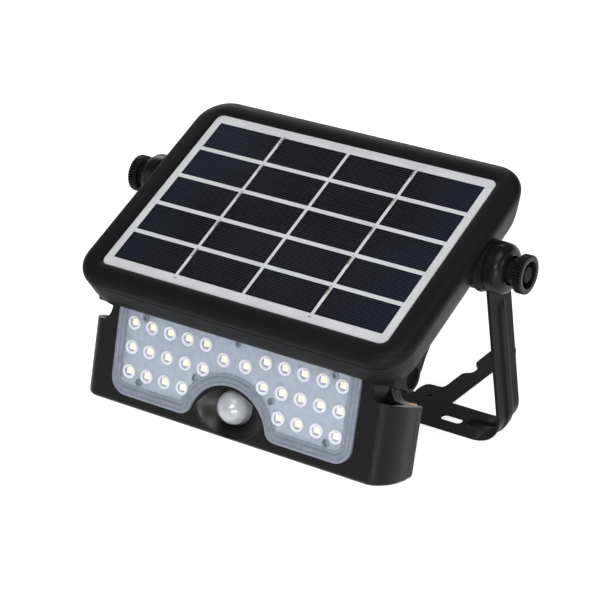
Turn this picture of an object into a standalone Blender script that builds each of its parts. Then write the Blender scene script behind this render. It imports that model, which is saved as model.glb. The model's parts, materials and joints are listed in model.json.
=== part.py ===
"""Solar flood light: a solar panel housing on a clamp bracket, with a tilting LED head.

World frame: +X is the lamp's right, +Y the rear, +Z up, metres. The bracket's base
lies on Z = 0 under the swivel axis. The housing and the head each have a local frame:
the housing's has its origin at the middle of the solar panel with +Z out of the panel,
and the head's has its origin on the top row of LEDs with +Z out of the lamp's face.
"""
import math

import bmesh
import bpy
from mathutils import Matrix, Vector

MM = 0.001
GAP = 0.3 * MM
MERGE = 0.001 * MM

# Poses
HOUSING_TILT = math.radians(12.9)
HEAD_TILT = math.radians(51.88)

# Swivel axis between bracket and housing
PIVOT_HEIGHT = 105.4 * MM
PIVOT_Y = 18.8 * MM
PIVOT_Z = -17.3 * MM

# Bracket
STRAP_WIDTH = 20.6 * MM
STRAP_THICKNESS = 1.6 * MM
ARM_X = 101.6 * MM
BEND_RADIUS = 17.6 * MM
RIB_HEIGHT = 1.1 * MM
RIB_HALF_WIDTH = 4.0 * MM
BOLT_CLEARANCE = 3.3 * MM
SLOT_X = 67.3 * MM
SLOT_LENGTH = 12.6 * MM
SLOT_WIDTH = 5.2 * MM
PILOT_HOLES = ((34.0 * MM, 3.4 * MM), (47.2 * MM, 10.6 * MM))
PILOT_RADIUS = 1.5 * MM

# Housing, in its own frame
PANEL_HALF_X = 84.6 * MM
PANEL_HALF_Y = 57.2 * MM
PANEL_CORNER = 4.0 * MM
PANEL_THICKNESS = 2.3 * MM
CREST_HALF_X = 97.5 * MM
CREST_FRONT = -69.4 * MM
CREST_BACK = 69.2 * MM
CREST_CORNER = 18.0 * MM
SPLIT_Z = -5.0 * MM
FLOOR_Z = -26.0 * MM
WALL = 2.0 * MM
HUB_RADIUS = 13.0 * MM
HUB_FLANGE_RADIUS = 13.8 * MM
HUB_FACE_X = 98.6 * MM
RING_RADIUS = 12.9 * MM
INSERT_RADIUS = 4.4 * MM
POST_RADIUS = 4.2 * MM
SCREW_BORE = 1.8 * MM
BOSS_BOTTOM = -5.7 * MM
CORNER_STEPS = 5

# Hinge between housing and head, in the housing frame
HINGE_Y = -49.7 * MM
HINGE_Z = -30.05 * MM
CHANNEL_RADIUS = 20.8 * MM
CHANNEL_HALF_X = 78.2 * MM
KNUCKLE_RADIUS = 8.5 * MM
KNUCKLE_FACE_X = 88.8 * MM
HINGE_PIN_RADIUS = 3.0 * MM
HINGE_PIN_HEAD_RADIUS = 5.0 * MM
PIN_BORE = HINGE_PIN_RADIUS + GAP
PIN_HEAD_BORE = HINGE_PIN_HEAD_RADIUS + GAP

# Head, in its own frame
LED_ROW_Y = -69.05 * MM
LED_ROW_Z = -24.91 * MM
HEAD_HALF_X = 92.0 * MM
HEAD_CORE_HALF_X = 77.2 * MM
HEAD_TOP = 10.2 * MM
HEAD_BOTTOM = -44.3 * MM
HEAD_FACE = 1.0 * MM
HEAD_SEAM = -22.0 * MM
HEAD_BACK = -28.5 * MM
HEAD_CORNER = 9.5 * MM
HEAD_CORNER_DEPTH = 17.0 * MM
FACE_WALL = 4.2 * MM
HEAD_WALL = 2.2 * MM
LENS_HALF_X = 72.8 * MM
LENS_TOP = 8.8 * MM
LENS_TOP_TAPER = 0.35
LENS_BOTTOM = -38.9 * MM
LENS_CORNER = 10.0 * MM
ARCH_CENTRE = -41.0 * MM
ARCH_RADIUS = 23.5 * MM
ARCH_FILLET = 7.0 * MM
ARCH_LIP = 1.3 * MM
PIR_Y = -28.5 * MM
DOME_RADIUS = 8.8 * MM
LED_PITCH_X = 11.13 * MM
LED_PITCH_Y = 12.75 * MM
LED_INNER_X = 18.0 * MM
LED_ROW_COUNTS = ((0, 5), (0, 5), (1, 4))
LED_CENTRE_PAIR = (6.6 * MM, -5.0 * MM)
COVER_SCREW_BORE = 1.7 * MM
SHOULDER_INSERT = (87.5 * MM, -25.3 * MM)
BOARD_SCREWS = ((56.8 * MM, 3.6 * MM), (23.1 * MM, -18.8 * MM), (56.7 * MM, -30.3 * MM))

# Clamp caps and knobs, as distances along X from the middle of the lamp
CAP_START = 101.9 * MM
CAP_END = 109.5 * MM
KNOB_NECK_RADIUS = 6.6 * MM
KNOB_RADIUS = 9.9 * MM
KNOB_DISC_START = 113.9 * MM
KNOB_END = 118.8 * MM
KNOB_FLUTES = 16
RING_TEETH = 18
FLUTE_DEPTH = 0.5 * MM
BOLT_RADIUS = 2.5 * MM
THREAD_RADIUS = BOLT_RADIUS + GAP
HEX_HEAD_RADIUS = 4.6 * MM

# Mode button under the housing
BUTTON_Y = -11.0 * MM
BUTTON_RADIUS = 6.2 * MM


def clear_scene():
    for obj in list(bpy.data.objects):
        bpy.data.objects.remove(obj, do_unlink=True)


def make_collection(name):
    collection = bpy.data.collections.new(name)
    bpy.context.scene.collection.children.link(collection)
    return collection


class Frame:
    """A body's local frame: its empty sits on the joint axis, at `axis_point`."""

    def __init__(self, name, matrix, axis_point):
        self.axis_point = Vector(axis_point)
        self.empty = bpy.data.objects.new(name, None)
        PARTS.objects.link(self.empty)
        self.empty.matrix_world = matrix @ Matrix.Translation(self.axis_point)


def make_material(name, colour, roughness, metallic=0.0, alpha=1.0):
    material = bpy.data.materials.new(name)
    material.use_nodes = True
    shader = material.node_tree.nodes["Principled BSDF"]
    shader.inputs["Base Color"].default_value = (*colour, 1.0)
    shader.inputs["Roughness"].default_value = roughness
    shader.inputs["Metallic"].default_value = metallic
    shader.inputs["Alpha"].default_value = alpha
    return material


def add_object(name, bm, frame, material=None):
    """Turn a bmesh in the frame's coordinates into an object; no material makes a cutter."""
    bm.transform(Matrix.Translation(-frame.axis_point))
    mesh = bpy.data.meshes.new(name)
    bm.to_mesh(mesh)
    bm.free()
    obj = bpy.data.objects.new(name, mesh)
    obj.parent = frame.empty
    if material is None:
        CUTTERS.objects.link(obj)
        obj.hide_render = True
        obj.display_type = "WIRE"
        return obj
    PARTS.objects.link(obj)
    mesh.materials.append(material)
    mesh.shade_smooth()
    mesh.set_sharp_from_angle(angle=math.radians(32))
    return obj


def combine(target, operation, *others):
    for other in others:
        modifier = target.modifiers.new(other.name, "BOOLEAN")
        modifier.operation = operation
        modifier.solver = "EXACT"
        modifier.object = other


def outward(bm):
    """Turn the faces of one closed body outwards."""
    bmesh.ops.recalc_face_normals(bm, faces=bm.faces)
    if bm.calc_volume(signed=True) < 0:
        bmesh.ops.reverse_faces(bm, faces=bm.faces)
    return bm


def loft(rings, closed=False):
    """Skin equal-length rings of points; a closed loft joins its last ring to its first."""
    bm = bmesh.new()
    rows = [[bm.verts.new(point) for point in ring] for ring in rings]
    count = len(rows[0])
    pairs = list(zip(rows, rows[1:]))
    if closed:
        pairs.append((rows[-1], rows[0]))
    else:
        bm.faces.new(rows[0])
        bm.faces.new(rows[-1])
    for lower, upper in pairs:
        for i in range(count):
            j = (i + 1) % count
            bm.faces.new((lower[i], lower[j], upper[j], upper[i]))
    return outward(bm)


def arc(centre, radius, start, end, steps):
    """Points on an arc in a plane, angles in degrees."""
    points = []
    for i in range(steps + 1):
        angle = math.radians(start + (end - start) * i / steps)
        points.append((centre[0] + radius * math.cos(angle), centre[1] + radius * math.sin(angle)))
    return points


def rounded_rectangle(half_x, low, high, radius, steps=CORNER_STEPS):
    corners = ((half_x, high, 0), (-half_x, high, 90), (-half_x, low, 180), (half_x, low, 270))
    points = []
    for x, y, start in corners:
        centre = (x - math.copysign(radius, x), y - (radius if y == high else -radius))
        points += arc(centre, radius, start, start + 90, steps)
    return points


def along_z(centre):
    """Places a shape made about Z at a point of the XY plane."""
    return Matrix.Translation((centre[0], centre[1], 0))


def along_x(centre, side=1):
    """Places a shape made about Z so that its Z runs along X, towards the side given."""
    return Matrix(((0, 0, side, 0), (1, 0, 0, centre[0]), (0, 1, 0, centre[1]), (0, 0, 0, 1)))


def along_y(centre):
    """Places a shape made about Z so that its Z runs along Y."""
    return Matrix(((0, 1, 0, centre[0]), (0, 0, 1, 0), (1, 0, 0, centre[1]), (0, 0, 0, 1)))


def to_bmesh(obj):
    """The welded bmesh that an object evaluates to; the object is removed."""
    bpy.context.scene.collection.objects.link(obj)
    evaluated = obj.evaluated_get(bpy.context.evaluated_depsgraph_get())
    mesh = bpy.data.meshes.new_from_object(evaluated)
    bpy.data.batch_remove((obj, obj.data))
    bm = bmesh.new()
    bm.from_mesh(mesh)
    bpy.data.meshes.remove(mesh)
    bmesh.ops.remove_doubles(bm, verts=bm.verts, dist=MERGE)
    return bm


def extruded(outlines, low, high, place=Matrix.Identity(4)):
    """Extrude closed outlines from low to high; an outline inside another is a hole."""
    curve = bpy.data.curves.new("outline", "CURVE")
    curve.dimensions = "2D"
    curve.fill_mode = "BOTH"
    curve.extrude = 0.5 * (high - low)
    for outline in outlines:
        spline = curve.splines.new("POLY")
        spline.points.add(len(outline) - 1)
        spline.use_cyclic_u = True
        for point, (x, y) in zip(spline.points, outline):
            point.co = (x, y, 0, 1)
    bm = to_bmesh(bpy.data.objects.new("outline", curve))
    bm.transform(place @ Matrix.Translation((0, 0, 0.5 * (low + high))))
    return outward(bm)


def turned(profile, place, steps, closed=False):
    """Turn (radius, height) points about Z; an open profile is closed along the axis."""
    points = list(profile)
    if not closed:
        points = [(0, points[0][1])] + points + [(0, points[-1][1])]
    edges = [(i, i + 1) for i in range(len(points) - 1)]
    if closed:
        edges.append((len(points) - 1, 0))
    mesh = bpy.data.meshes.new("profile")
    mesh.from_pydata([(radius, 0, height) for radius, height in points], edges, [])
    obj = bpy.data.objects.new("profile", mesh)
    screw = obj.modifiers.new("turn", "SCREW")
    screw.steps = steps
    screw.render_steps = steps
    screw.use_merge_vertices = True
    screw.merge_threshold = MERGE
    bm = to_bmesh(obj)
    bm.transform(place)
    return outward(bm)


def cylinder(radius, low, high, place, steps=12):
    bm = bmesh.new()
    middle = place @ Matrix.Translation((0, 0, 0.5 * (low + high)))
    bmesh.ops.create_cone(bm, cap_ends=True, segments=steps, radius1=radius, radius2=radius,
                          depth=high - low, matrix=middle)
    return outward(bm)


def box(low, high):
    low = Vector(low)
    size = Vector(high) - low
    bm = bmesh.new()
    matrix = Matrix.Translation(low + 0.5 * size) @ Matrix.Diagonal((*size, 1))
    bmesh.ops.create_cube(bm, size=1.0, matrix=matrix)
    return bm


def press_flutes(bm, centre, radius, count):
    """Push every other vertex of the rim inwards, on a piece turned about an X axis."""
    for vert in bm.verts:
        offset = Vector((0, vert.co.y - centre[0], vert.co.z - centre[1]))
        station = round(math.atan2(offset.z, offset.y) * count / math.pi)
        if abs(offset.length - radius) < 0.01 * MM and station % 2:
            vert.co -= FLUTE_DEPTH * offset.normalized()


def merged(pieces):
    """One bmesh holding several."""
    total = bmesh.new()
    for piece in pieces:
        mesh = bpy.data.meshes.new("piece")
        piece.to_mesh(mesh)
        piece.free()
        total.from_mesh(mesh)
        bpy.data.meshes.remove(mesh)
    return total


# ---------------------------------------------------------------- bracket

def strap_section(x, z, normal, width, rib):
    """Twelve points round the strap: its outer face with the rib, then its inner face."""
    stations = (-width, -RIB_HALF_WIDTH, -0.6 * RIB_HALF_WIDTH, 0.6 * RIB_HALF_WIDTH, RIB_HALF_WIDTH, width)
    scale = min(1.0, width / (0.5 * STRAP_WIDTH))
    outer = []
    inner = []
    for i, y in enumerate(stations):
        lift = rib if i in (2, 3) else 0.0
        across = y if i in (0, 5) else y * scale
        outer.append((x + normal[0] * lift, across, z + normal[1] * lift))
        depth = lift - STRAP_THICKNESS
        inner.append((x + normal[0] * depth, across, z + normal[1] * depth))
    return outer + inner[::-1]


def strap_sections():
    """Sections down the right arm, round its bend and on to the base."""
    half = 0.5 * STRAP_WIDTH
    sections = []
    for degrees in (84, 68, 52, 36, 18, 0):
        angle = math.radians(degrees)
        z = PIVOT_HEIGHT + half * math.sin(angle)
        sections.append(strap_section(ARM_X, z, (1, 0), half * math.cos(angle), 0.0))
    for drop, rib in ((21 * MM, 0.0), (24 * MM, RIB_HEIGHT)):
        sections.append(strap_section(ARM_X, PIVOT_HEIGHT - drop, (1, 0), half, rib))
    bend_x = ARM_X - BEND_RADIUS
    for degrees in range(0, 91, 10):
        angle = math.radians(degrees)
        normal = (math.cos(angle), -math.sin(angle))
        fade = min(1.0, max(0.0, (80 - degrees) / 20))
        x = bend_x + BEND_RADIUS * normal[0]
        z = BEND_RADIUS + BEND_RADIUS * normal[1]
        sections.append(strap_section(x, z, normal, half, RIB_HEIGHT * fade))
    return sections


def rear_leg(side):
    """A flat leg that runs back and outwards from the base, with a round notch inside."""
    notch = arc((53.6 * MM, 40.6 * MM), 4.4 * MM, -66, 62, 7)
    outline = [(37.7 * MM, 7 * MM), (37.8 * MM, 12 * MM), (39.4 * MM, 17.4 * MM), (42 * MM, 19.4 * MM)]
    outline += [(47.6 * MM, 19.6 * MM), (50.2 * MM, 21.4 * MM), (52.6 * MM, 34.4 * MM)]
    outline += notch
    outline += [(54.6 * MM, 47.4 * MM), (57.3 * MM, 63.4 * MM)]
    outline += arc((63.2 * MM, 62.4 * MM), 6 * MM, 170, -10, 8)
    outline += [(62.6 * MM, 26.5 * MM), (59.7 * MM, 10.3 * MM), (59.3 * MM, 7 * MM)]
    return extruded([[(side * x, y) for x, y in outline]], 0, STRAP_THICKNESS)


def slot(centre_x, centre_y, length, width, low, high):
    reach = 0.5 * (length - width)
    outline = arc((centre_x + reach, centre_y), 0.5 * width, -90, 90, 8)
    outline += arc((centre_x - reach, centre_y), 0.5 * width, 90, 270, 8)
    return extruded([outline], low, high)


def build_bracket():
    right = strap_sections()
    left = [[(-x, y, z) for x, y, z in section] for section in reversed(right)]
    strap = add_object("mounting_bracket", loft(right + left), BRACKET, STEEL)
    legs = [add_object(f"rear_leg_{side:+d}", rear_leg(side), BRACKET) for side in (1, -1)]
    holes = []
    for side in (1, -1):
        holes.append(slot(side * SLOT_X, -1.2 * MM, SLOT_LENGTH, SLOT_WIDTH, -2 * MM, 4 * MM))
        holes.append(cylinder(BOLT_CLEARANCE, 90 * MM, 112 * MM, along_x((0, PIVOT_HEIGHT), side), 24))
        for x, y in PILOT_HOLES:
            holes.append(cylinder(PILOT_RADIUS, -2 * MM, 4 * MM, along_z((side * x, y))))
    combine(strap, "UNION", *legs)
    combine(strap, "DIFFERENCE", add_object("bracket_holes", merged(holes), BRACKET))
    for side, name in SIDES:
        profile = [(BOLT_CLEARANCE, CAP_START), (HUB_RADIUS, CAP_START), (HUB_RADIUS, 105.8 * MM)]
        profile += [(12.3 * MM, 107.6 * MM), (11 * MM, 108.8 * MM), (9.4 * MM, CAP_END), (7.5 * MM, CAP_END)]
        profile += [(7.4 * MM, 104.9 * MM), (BOLT_CLEARANCE, 104.9 * MM)]
        cap = turned(profile, along_x((0, PIVOT_HEIGHT), side), 24, closed=True)
        add_object(f"clamp_cap_{name}", cap, BRACKET, PLASTIC)


# ---------------------------------------------------------------- housing

def housing_outline(spread):
    """A rounded rectangle: spread 0 is the panel's edge and 1 is the housing's crest."""
    half_x = PANEL_HALF_X + spread * (CREST_HALF_X - PANEL_HALF_X)
    low = -PANEL_HALF_Y + spread * (CREST_FRONT + PANEL_HALF_Y)
    high = PANEL_HALF_Y + spread * (CREST_BACK - PANEL_HALF_Y)
    radius = max(1.0 * MM, PANEL_CORNER + spread * (CREST_CORNER - PANEL_CORNER))
    return rounded_rectangle(half_x, low, high, radius)


def housing_ring(spread, z):
    return [(x, y, z) for x, y in housing_outline(spread)]


def build_bezel():
    profile = ((-0.45, -2.6), (0.03, -2.6), (0.03, 0.5), (0.07, 0.95), (0.34, 1.25), (0.61, 0.95))
    profile += ((0.83, 0.1), (0.95, -1.3), (1.0, -3.0), (0.99, -5.0), (0.8, -5.0), (0.7, -3.9), (-0.45, -3.9))
    rings = [housing_ring(spread, z * MM) for spread, z in profile]
    bezel = add_object("front_bezel", loft(rings, True), HOUSING, PLASTIC)
    bosses = []
    bores = []
    for place in screw_places():
        bosses.append(cylinder(POST_RADIUS, BOSS_BOTTOM, -2.7 * MM, along_z(place)))
        bores.append(cylinder(SCREW_BORE, BOSS_BOTTOM - 1 * MM, -3.3 * MM, along_z(place)))
    combine(bezel, "UNION", add_object("bezel_bosses", merged(bosses), HOUSING))
    combine(bezel, "DIFFERENCE", add_object("bezel_bores", merged(bores), HOUSING))


def build_panel():
    rings = [housing_ring(0.0, -PANEL_THICKNESS), housing_ring(0.0, -0.2 * MM), housing_ring(-0.02, 0.0)]
    add_object("solar_laminate", loft(rings), HOUSING, LAMINATE)
    seal = [housing_outline(spread) for spread in (0.66, 0.52)]
    add_object("housing_seal", extruded(seal, -4.9 * MM, -4.2 * MM), HOUSING, RUBBER)


def shell_rings():
    """The rear housing's outside: drafted walls that roll under to the floor."""
    levels = ((SPLIT_Z - GAP, 97.3, -69.3, 69.0, 18), (-14 * MM, 94.8, -68.4, 66.6, 17))
    levels += ((-21 * MM, 92.2, -66.2, 63.8, 16), (-24.4 * MM, 89.8, -62.8, 61.2, 15))
    levels += ((-25.7 * MM, 87.2, -59.6, 58.4, 13), (FLOOR_Z, 85.2, -57.4, 56.4, 12))
    rings = []
    for z, half_x, low, high, radius in levels:
        outline = rounded_rectangle(half_x * MM, low * MM, high * MM, radius * MM)
        rings.append([(x, y, z) for x, y in outline])
    return rings


def main_cavity():
    levels = ((FLOOR_Z + WALL, 85.5, 57.5, 10), (-14 * MM, 91.5, 63.5, 13), (-3 * MM, 91.7, 63.7, 13))
    rings = []
    for z, half_x, high, radius in levels:
        outline = rounded_rectangle(half_x * MM, -25 * MM, high * MM, radius * MM)
        rings.append([(x, y, z) for x, y in outline])
    return loft(rings)


def front_cavity():
    """The space above the hinge channel, bounded below by a concentric arc."""
    roof = arc((HINGE_Y, HINGE_Z), CHANNEL_RADIUS + WALL, 140.0, 15.3, 12)
    outline = [(-67 * MM, -3 * MM)] + roof + [(-20 * MM, FLOOR_Z + WALL), (-20 * MM, -3 * MM)]
    return extruded([outline], -76 * MM, 76 * MM, along_x((0, 0)))


def screw_places():
    return [(side * 76 * MM, y) for side in (1, -1) for y in (-14 * MM, 48 * MM)]


def post_places():
    return [(side * 30 * MM, y) for side in (1, -1) for y in (-19 * MM, -3 * MM)]


def build_rear_housing():
    shell = add_object("rear_housing", loft(shell_rings()), HOUSING, PLASTIC)
    combine(shell, "DIFFERENCE", add_object("main_cavity", main_cavity(), HOUSING))
    combine(shell, "DIFFERENCE", add_object("front_cavity", front_cavity(), HOUSING))
    foot = FLOOR_Z + 1 * MM
    posts = [cylinder(POST_RADIUS, foot, BOSS_BOTTOM - GAP, along_z(place)) for place in screw_places()]
    posts += [cylinder(2.2 * MM, foot, -19.3 * MM, along_z(place), 10) for place in post_places()]
    additions = [add_object("housing_posts", merged(posts), HOUSING)]
    pivot = (PIVOT_Y, PIVOT_Z)
    hinge = (HINGE_Y, HINGE_Z)
    for side, name in SIDES:
        profile = [(HUB_RADIUS, 86 * MM), (HUB_RADIUS, 94.2 * MM), (HUB_FLANGE_RADIUS, 94.6 * MM)]
        profile += [(HUB_FLANGE_RADIUS, 95.8 * MM), (HUB_RADIUS, 96.2 * MM), (HUB_RADIUS, HUB_FACE_X)]
        hub = turned(profile, along_x(pivot, side), 28)
        additions.append(add_object(f"hub_{name}", hub, HOUSING))
        knuckle = cylinder(KNUCKLE_RADIUS, CHANNEL_HALF_X, KNUCKLE_FACE_X, along_x(hinge, side), 24)
        additions.append(add_object(f"knuckle_{name}", knuckle, HOUSING))
    combine(shell, "UNION", *additions)
    channel = cylinder(CHANNEL_RADIUS, -CHANNEL_HALF_X, CHANNEL_HALF_X, along_x(hinge), 40)
    cuts = [add_object("hinge_channel", channel, HOUSING)]
    lip = box((-CHANNEL_HALF_X, -75 * MM, -40 * MM), (CHANNEL_HALF_X, -60 * MM, -17.6 * MM))
    cuts.append(add_object("lip_trim", lip, HOUSING))
    for side, name in SIDES:
        low, high = sorted((side * 80 * MM, side * 97.9 * MM))
        trim = box((low, 0.0, SPLIT_Z - GAP), (high, 40 * MM, 0.0))
        cuts.append(add_object(f"hub_trim_{name}", trim, HOUSING))
    bores = []
    for side, name in SIDES:
        bores.append(cylinder(INSERT_RADIUS + GAP, 87.4 * MM, 101 * MM, along_x(pivot, side), 24))
        profile = [(PIN_BORE, 70 * MM), (PIN_BORE, 84.5 * MM)]
        profile += [(PIN_HEAD_BORE, 84.5 * MM), (PIN_HEAD_BORE, 92 * MM)]
        bores.append(turned(profile, along_x(hinge, side), 24))
    for place in screw_places():
        profile = [(3.4 * MM, -27 * MM), (3.4 * MM, -23 * MM)]
        profile += [(SCREW_BORE, -23 * MM), (SCREW_BORE, -5.5 * MM)]
        bores.append(turned(profile, along_z(place), 12))
    bores.append(cylinder(BUTTON_RADIUS + GAP, -27 * MM, -23 * MM, along_z((0, BUTTON_Y)), 28))
    cuts.append(add_object("housing_bores", merged(bores), HOUSING))
    combine(shell, "DIFFERENCE", *cuts)


def build_housing_fittings():
    pivot = (PIVOT_Y, PIVOT_Z)
    hinge = (HINGE_Y, HINGE_Z)
    for side, name in SIDES:
        on_pivot = along_x(pivot, side)
        on_hinge = along_x(hinge, side)
        profile = [(INSERT_RADIUS + GAP, 98.9 * MM), (RING_RADIUS, 98.9 * MM)]
        profile += [(RING_RADIUS, 99.7 * MM), (INSERT_RADIUS + GAP, 99.7 * MM)]
        ring = turned(profile, on_pivot, 2 * RING_TEETH, closed=True)
        press_flutes(ring, pivot, RING_RADIUS, RING_TEETH)
        add_object(f"detent_ring_{name}", ring, HOUSING, PLASTIC)
        profile = [(THREAD_RADIUS, 88 * MM), (INSERT_RADIUS, 88 * MM)]
        profile += [(INSERT_RADIUS, 98.3 * MM), (THREAD_RADIUS, 98.3 * MM)]
        add_object(f"clamp_insert_{name}", turned(profile, on_pivot, 20, closed=True), HOUSING, BRASS)
        profile = [(HINGE_PIN_RADIUS, 72 * MM), (HINGE_PIN_RADIUS, 84.8 * MM)]
        profile += [(HINGE_PIN_HEAD_RADIUS, 84.8 * MM), (HINGE_PIN_HEAD_RADIUS, 87 * MM)]
        add_object(f"hinge_pin_{name}", turned(profile, on_hinge, 20), HOUSING, BRIGHT_STEEL)
        profile = [(5 * MM, 87.3 * MM), (5 * MM, 88.3 * MM), (4.4 * MM, 88.6 * MM)]
        add_object(f"hinge_cap_{name}", turned(profile, on_hinge, 20), HOUSING, RUBBER)
    for index, place in enumerate(screw_places()):
        profile = [(3 * MM, -25.6 * MM), (3 * MM, -23.3 * MM), (1.5 * MM, -23.3 * MM), (1.5 * MM, -3.6 * MM)]
        add_object(f"housing_screw_{index + 1}", turned(profile, along_z(place), 12), HOUSING, BRIGHT_STEEL)


def build_electronics():
    for name, y in (("front", 17 * MM), ("rear", 43 * MM)):
        radius = 9.1 * MM
        rim = radius - 0.6 * MM
        profile = [(rim, -32.5 * MM), (radius, -32 * MM), (radius, 32 * MM), (rim, 32.5 * MM)]
        cell = turned(profile, along_x((y, FLOOR_Z + 11.7 * MM)), 20)
        add_object(f"battery_cell_{name}", cell, HOUSING, BATTERY_WRAP)
    outer = 37 * MM
    inner = 34 * MM
    outline = [(outer, 5 * MM), (outer, 55 * MM), (inner, 55 * MM), (inner, 32.5 * MM)]
    outline += [(-inner, 32.5 * MM), (-inner, 55 * MM), (-outer, 55 * MM), (-outer, 5 * MM)]
    outline += [(-inner, 5 * MM), (-inner, 27.5 * MM), (inner, 27.5 * MM), (inner, 5 * MM)]
    add_object("battery_cradle", extruded([outline], FLOOR_Z + WALL + GAP, -13 * MM), HOUSING, PLASTIC)
    sheet = box((-34 * MM, -22.5 * MM, -19 * MM), (34 * MM, 0.5 * MM, -17.4 * MM))
    board = add_object("control_board", sheet, HOUSING, CIRCUIT)
    chips = [box((-4 * MM, -15 * MM, -20.6 * MM), (4 * MM, -7 * MM, -18.5 * MM))]
    chips.append(box((-28 * MM, -18 * MM, -18 * MM), (-14 * MM, -6 * MM, -13 * MM)))
    chips.append(box((12 * MM, -17 * MM, -18 * MM), (20 * MM, -9 * MM, -14.5 * MM)))
    combine(board, "UNION", add_object("control_chips", merged(chips), HOUSING))
    profile = [(5.4 * MM, -27.2 * MM), (BUTTON_RADIUS, -26.6 * MM), (BUTTON_RADIUS, -23.7 * MM)]
    profile += [(7.6 * MM, -23.7 * MM), (7.6 * MM, -22.9 * MM)]
    profile += [(2.4 * MM, -22.4 * MM), (2.4 * MM, -21.8 * MM)]
    add_object("mode_button", turned(profile, along_z((0, BUTTON_Y)), 24), BUTTON, RUBBER)


# ---------------------------------------------------------------- head

def head_outline(inset, side_top, core=HEAD_CORE_HALF_X):
    """The head seen from the front: a wide body with a raised core between the hinges."""
    low = HEAD_BOTTOM + inset
    right = HEAD_HALF_X - inset
    core_x = core - inset
    bottom = arc((right - 3 * MM, low + 3 * MM), 3 * MM, -90, 0, 4)
    half = bottom + [(right, side_top - inset), (core_x, side_top - inset), (core_x, HEAD_TOP - inset)]
    return half + [(-x, y) for x, y in reversed(half)]


def head_body_rings():
    """The front shell's outside, lofted upwards: a flat face with large upright corners."""
    rings = []
    for height, inset in ((HEAD_BOTTOM, 1.6 * MM), (HEAD_BOTTOM + 0.6 * MM, 0.5 * MM),
                          (HEAD_BOTTOM + 2 * MM, 0.0), (HEAD_TOP, 0.0)):
        right = HEAD_HALF_X - inset
        face = HEAD_FACE - inset
        half = [(right, HEAD_SEAM)]
        for x, z in arc((0, 0), 1, 0, 90, 8):
            half.append((right + HEAD_CORNER * (x - 1), face + HEAD_CORNER_DEPTH * (z - 1)))
        outline = half + [(-x, z) for x, z in reversed(half)]
        rings.append([(x, height, z) for x, z in outline])
    return rings


def shoulder_cutter(side):
    """Clears the shell above each shoulder, whose top slopes down towards the rear."""
    slope = [(5 * MM, -0.4 * MM), (5 * MM, 14 * MM), (-32 * MM, 14 * MM), (-32 * MM, -7.2 * MM)]
    outline = [(y, z) for z, y in slope]
    low, high = sorted((side * HEAD_CORE_HALF_X, side * 96 * MM))
    return extruded([outline], low, high, along_x((0, 0)))


def lens_outline(inset):
    """The lens: a wide panel with round lower corners and an arch over the motion sensor."""
    right = LENS_HALF_X - inset
    top = LENS_TOP - LENS_TOP_TAPER * inset
    low = LENS_BOTTOM + inset
    upper = max(0.8 * MM, 4 * MM - inset)
    corner = max(0.8 * MM, LENS_CORNER - inset)
    fillet = max(0.8 * MM, ARCH_FILLET - inset)
    radius = ARCH_RADIUS + inset
    fillet_y = low + fillet
    fillet_x = math.sqrt((radius + fillet) ** 2 - (fillet_y - ARCH_CENTRE) ** 2)
    lean = math.degrees(math.atan2(fillet_y - ARCH_CENTRE, fillet_x))
    half = arc((0, ARCH_CENTRE), radius, 90, lean, 7)
    half += arc((fillet_x, fillet_y), fillet, 180 + lean, 270, 5)
    half += arc((right - corner, low + corner), corner, -90, 0, 6)
    half += arc((right - upper, top - upper), upper, 0, 90, 3)
    return half + [(-x, y) for x, y in reversed(half[1:])]


def lens_shape(insets, low, high):
    """A plate with the lens's outline, moved inwards; a second inset makes it a frame."""
    return extruded([lens_outline(inset * MM) for inset in insets], low * MM, high * MM)


def led_places():
    places = []
    for row, (first, count) in enumerate(LED_ROW_COUNTS):
        for column in range(count):
            x = LED_INNER_X + (first + column) * LED_PITCH_X
            places += [(x, -row * LED_PITCH_Y), (-x, -row * LED_PITCH_Y)]
    places += [(LED_CENTRE_PAIR[0], LED_CENTRE_PAIR[1]), (-LED_CENTRE_PAIR[0], LED_CENTRE_PAIR[1])]
    return places


def board_screw_places():
    places = [(0, 4.5 * MM)]
    for x, y in BOARD_SCREWS:
        places += [(x, y), (-x, y)]
    return places


def cover_screw_places():
    return [(side * 79 * MM, y) for side in (1, -1) for y in (-37.5 * MM, -13 * MM)]


def hinge_in_head():
    """The hinge axis, seen from the head's frame."""
    offset = Vector((0, HINGE_Y - LED_ROW_Y, HINGE_Z - LED_ROW_Z))
    return Matrix.Rotation(-HEAD_TILT, 3, "X") @ offset


def cavity_outline(half_x, side_top):
    """The room inside the head: wide below, and narrower up in the core."""
    low = HEAD_BOTTOM + HEAD_WALL
    core = HEAD_CORE_HALF_X - HEAD_WALL
    half = [(half_x, low), (half_x, side_top), (core, side_top), (core, HEAD_TOP - HEAD_WALL)]
    return half + [(-x, y) for x, y in reversed(half)]


def sensor_oval(half_x, half_y):
    return [(half_x * x, PIR_Y + half_y * y) for x, y in arc((0, 0), 1, 5, 355, 35)]


def sensor_dish():
    """A bowl round the sensor: wide and oval at the face, round where it meets the dome."""
    rings = []
    for inward, z in ((0.0, 3.0), (0.04, 0.8), (0.2, 0.0), (0.62, -3.7), (0.93, -6.1), (1.0, -6.35), (1.0, -9)):
        outline = sensor_oval((20.4 - 11.1 * inward) * MM, (15.2 - 5.9 * inward) * MM)
        rings.append([(x, y, z * MM) for x, y in outline])
    return loft(rings)


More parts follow.
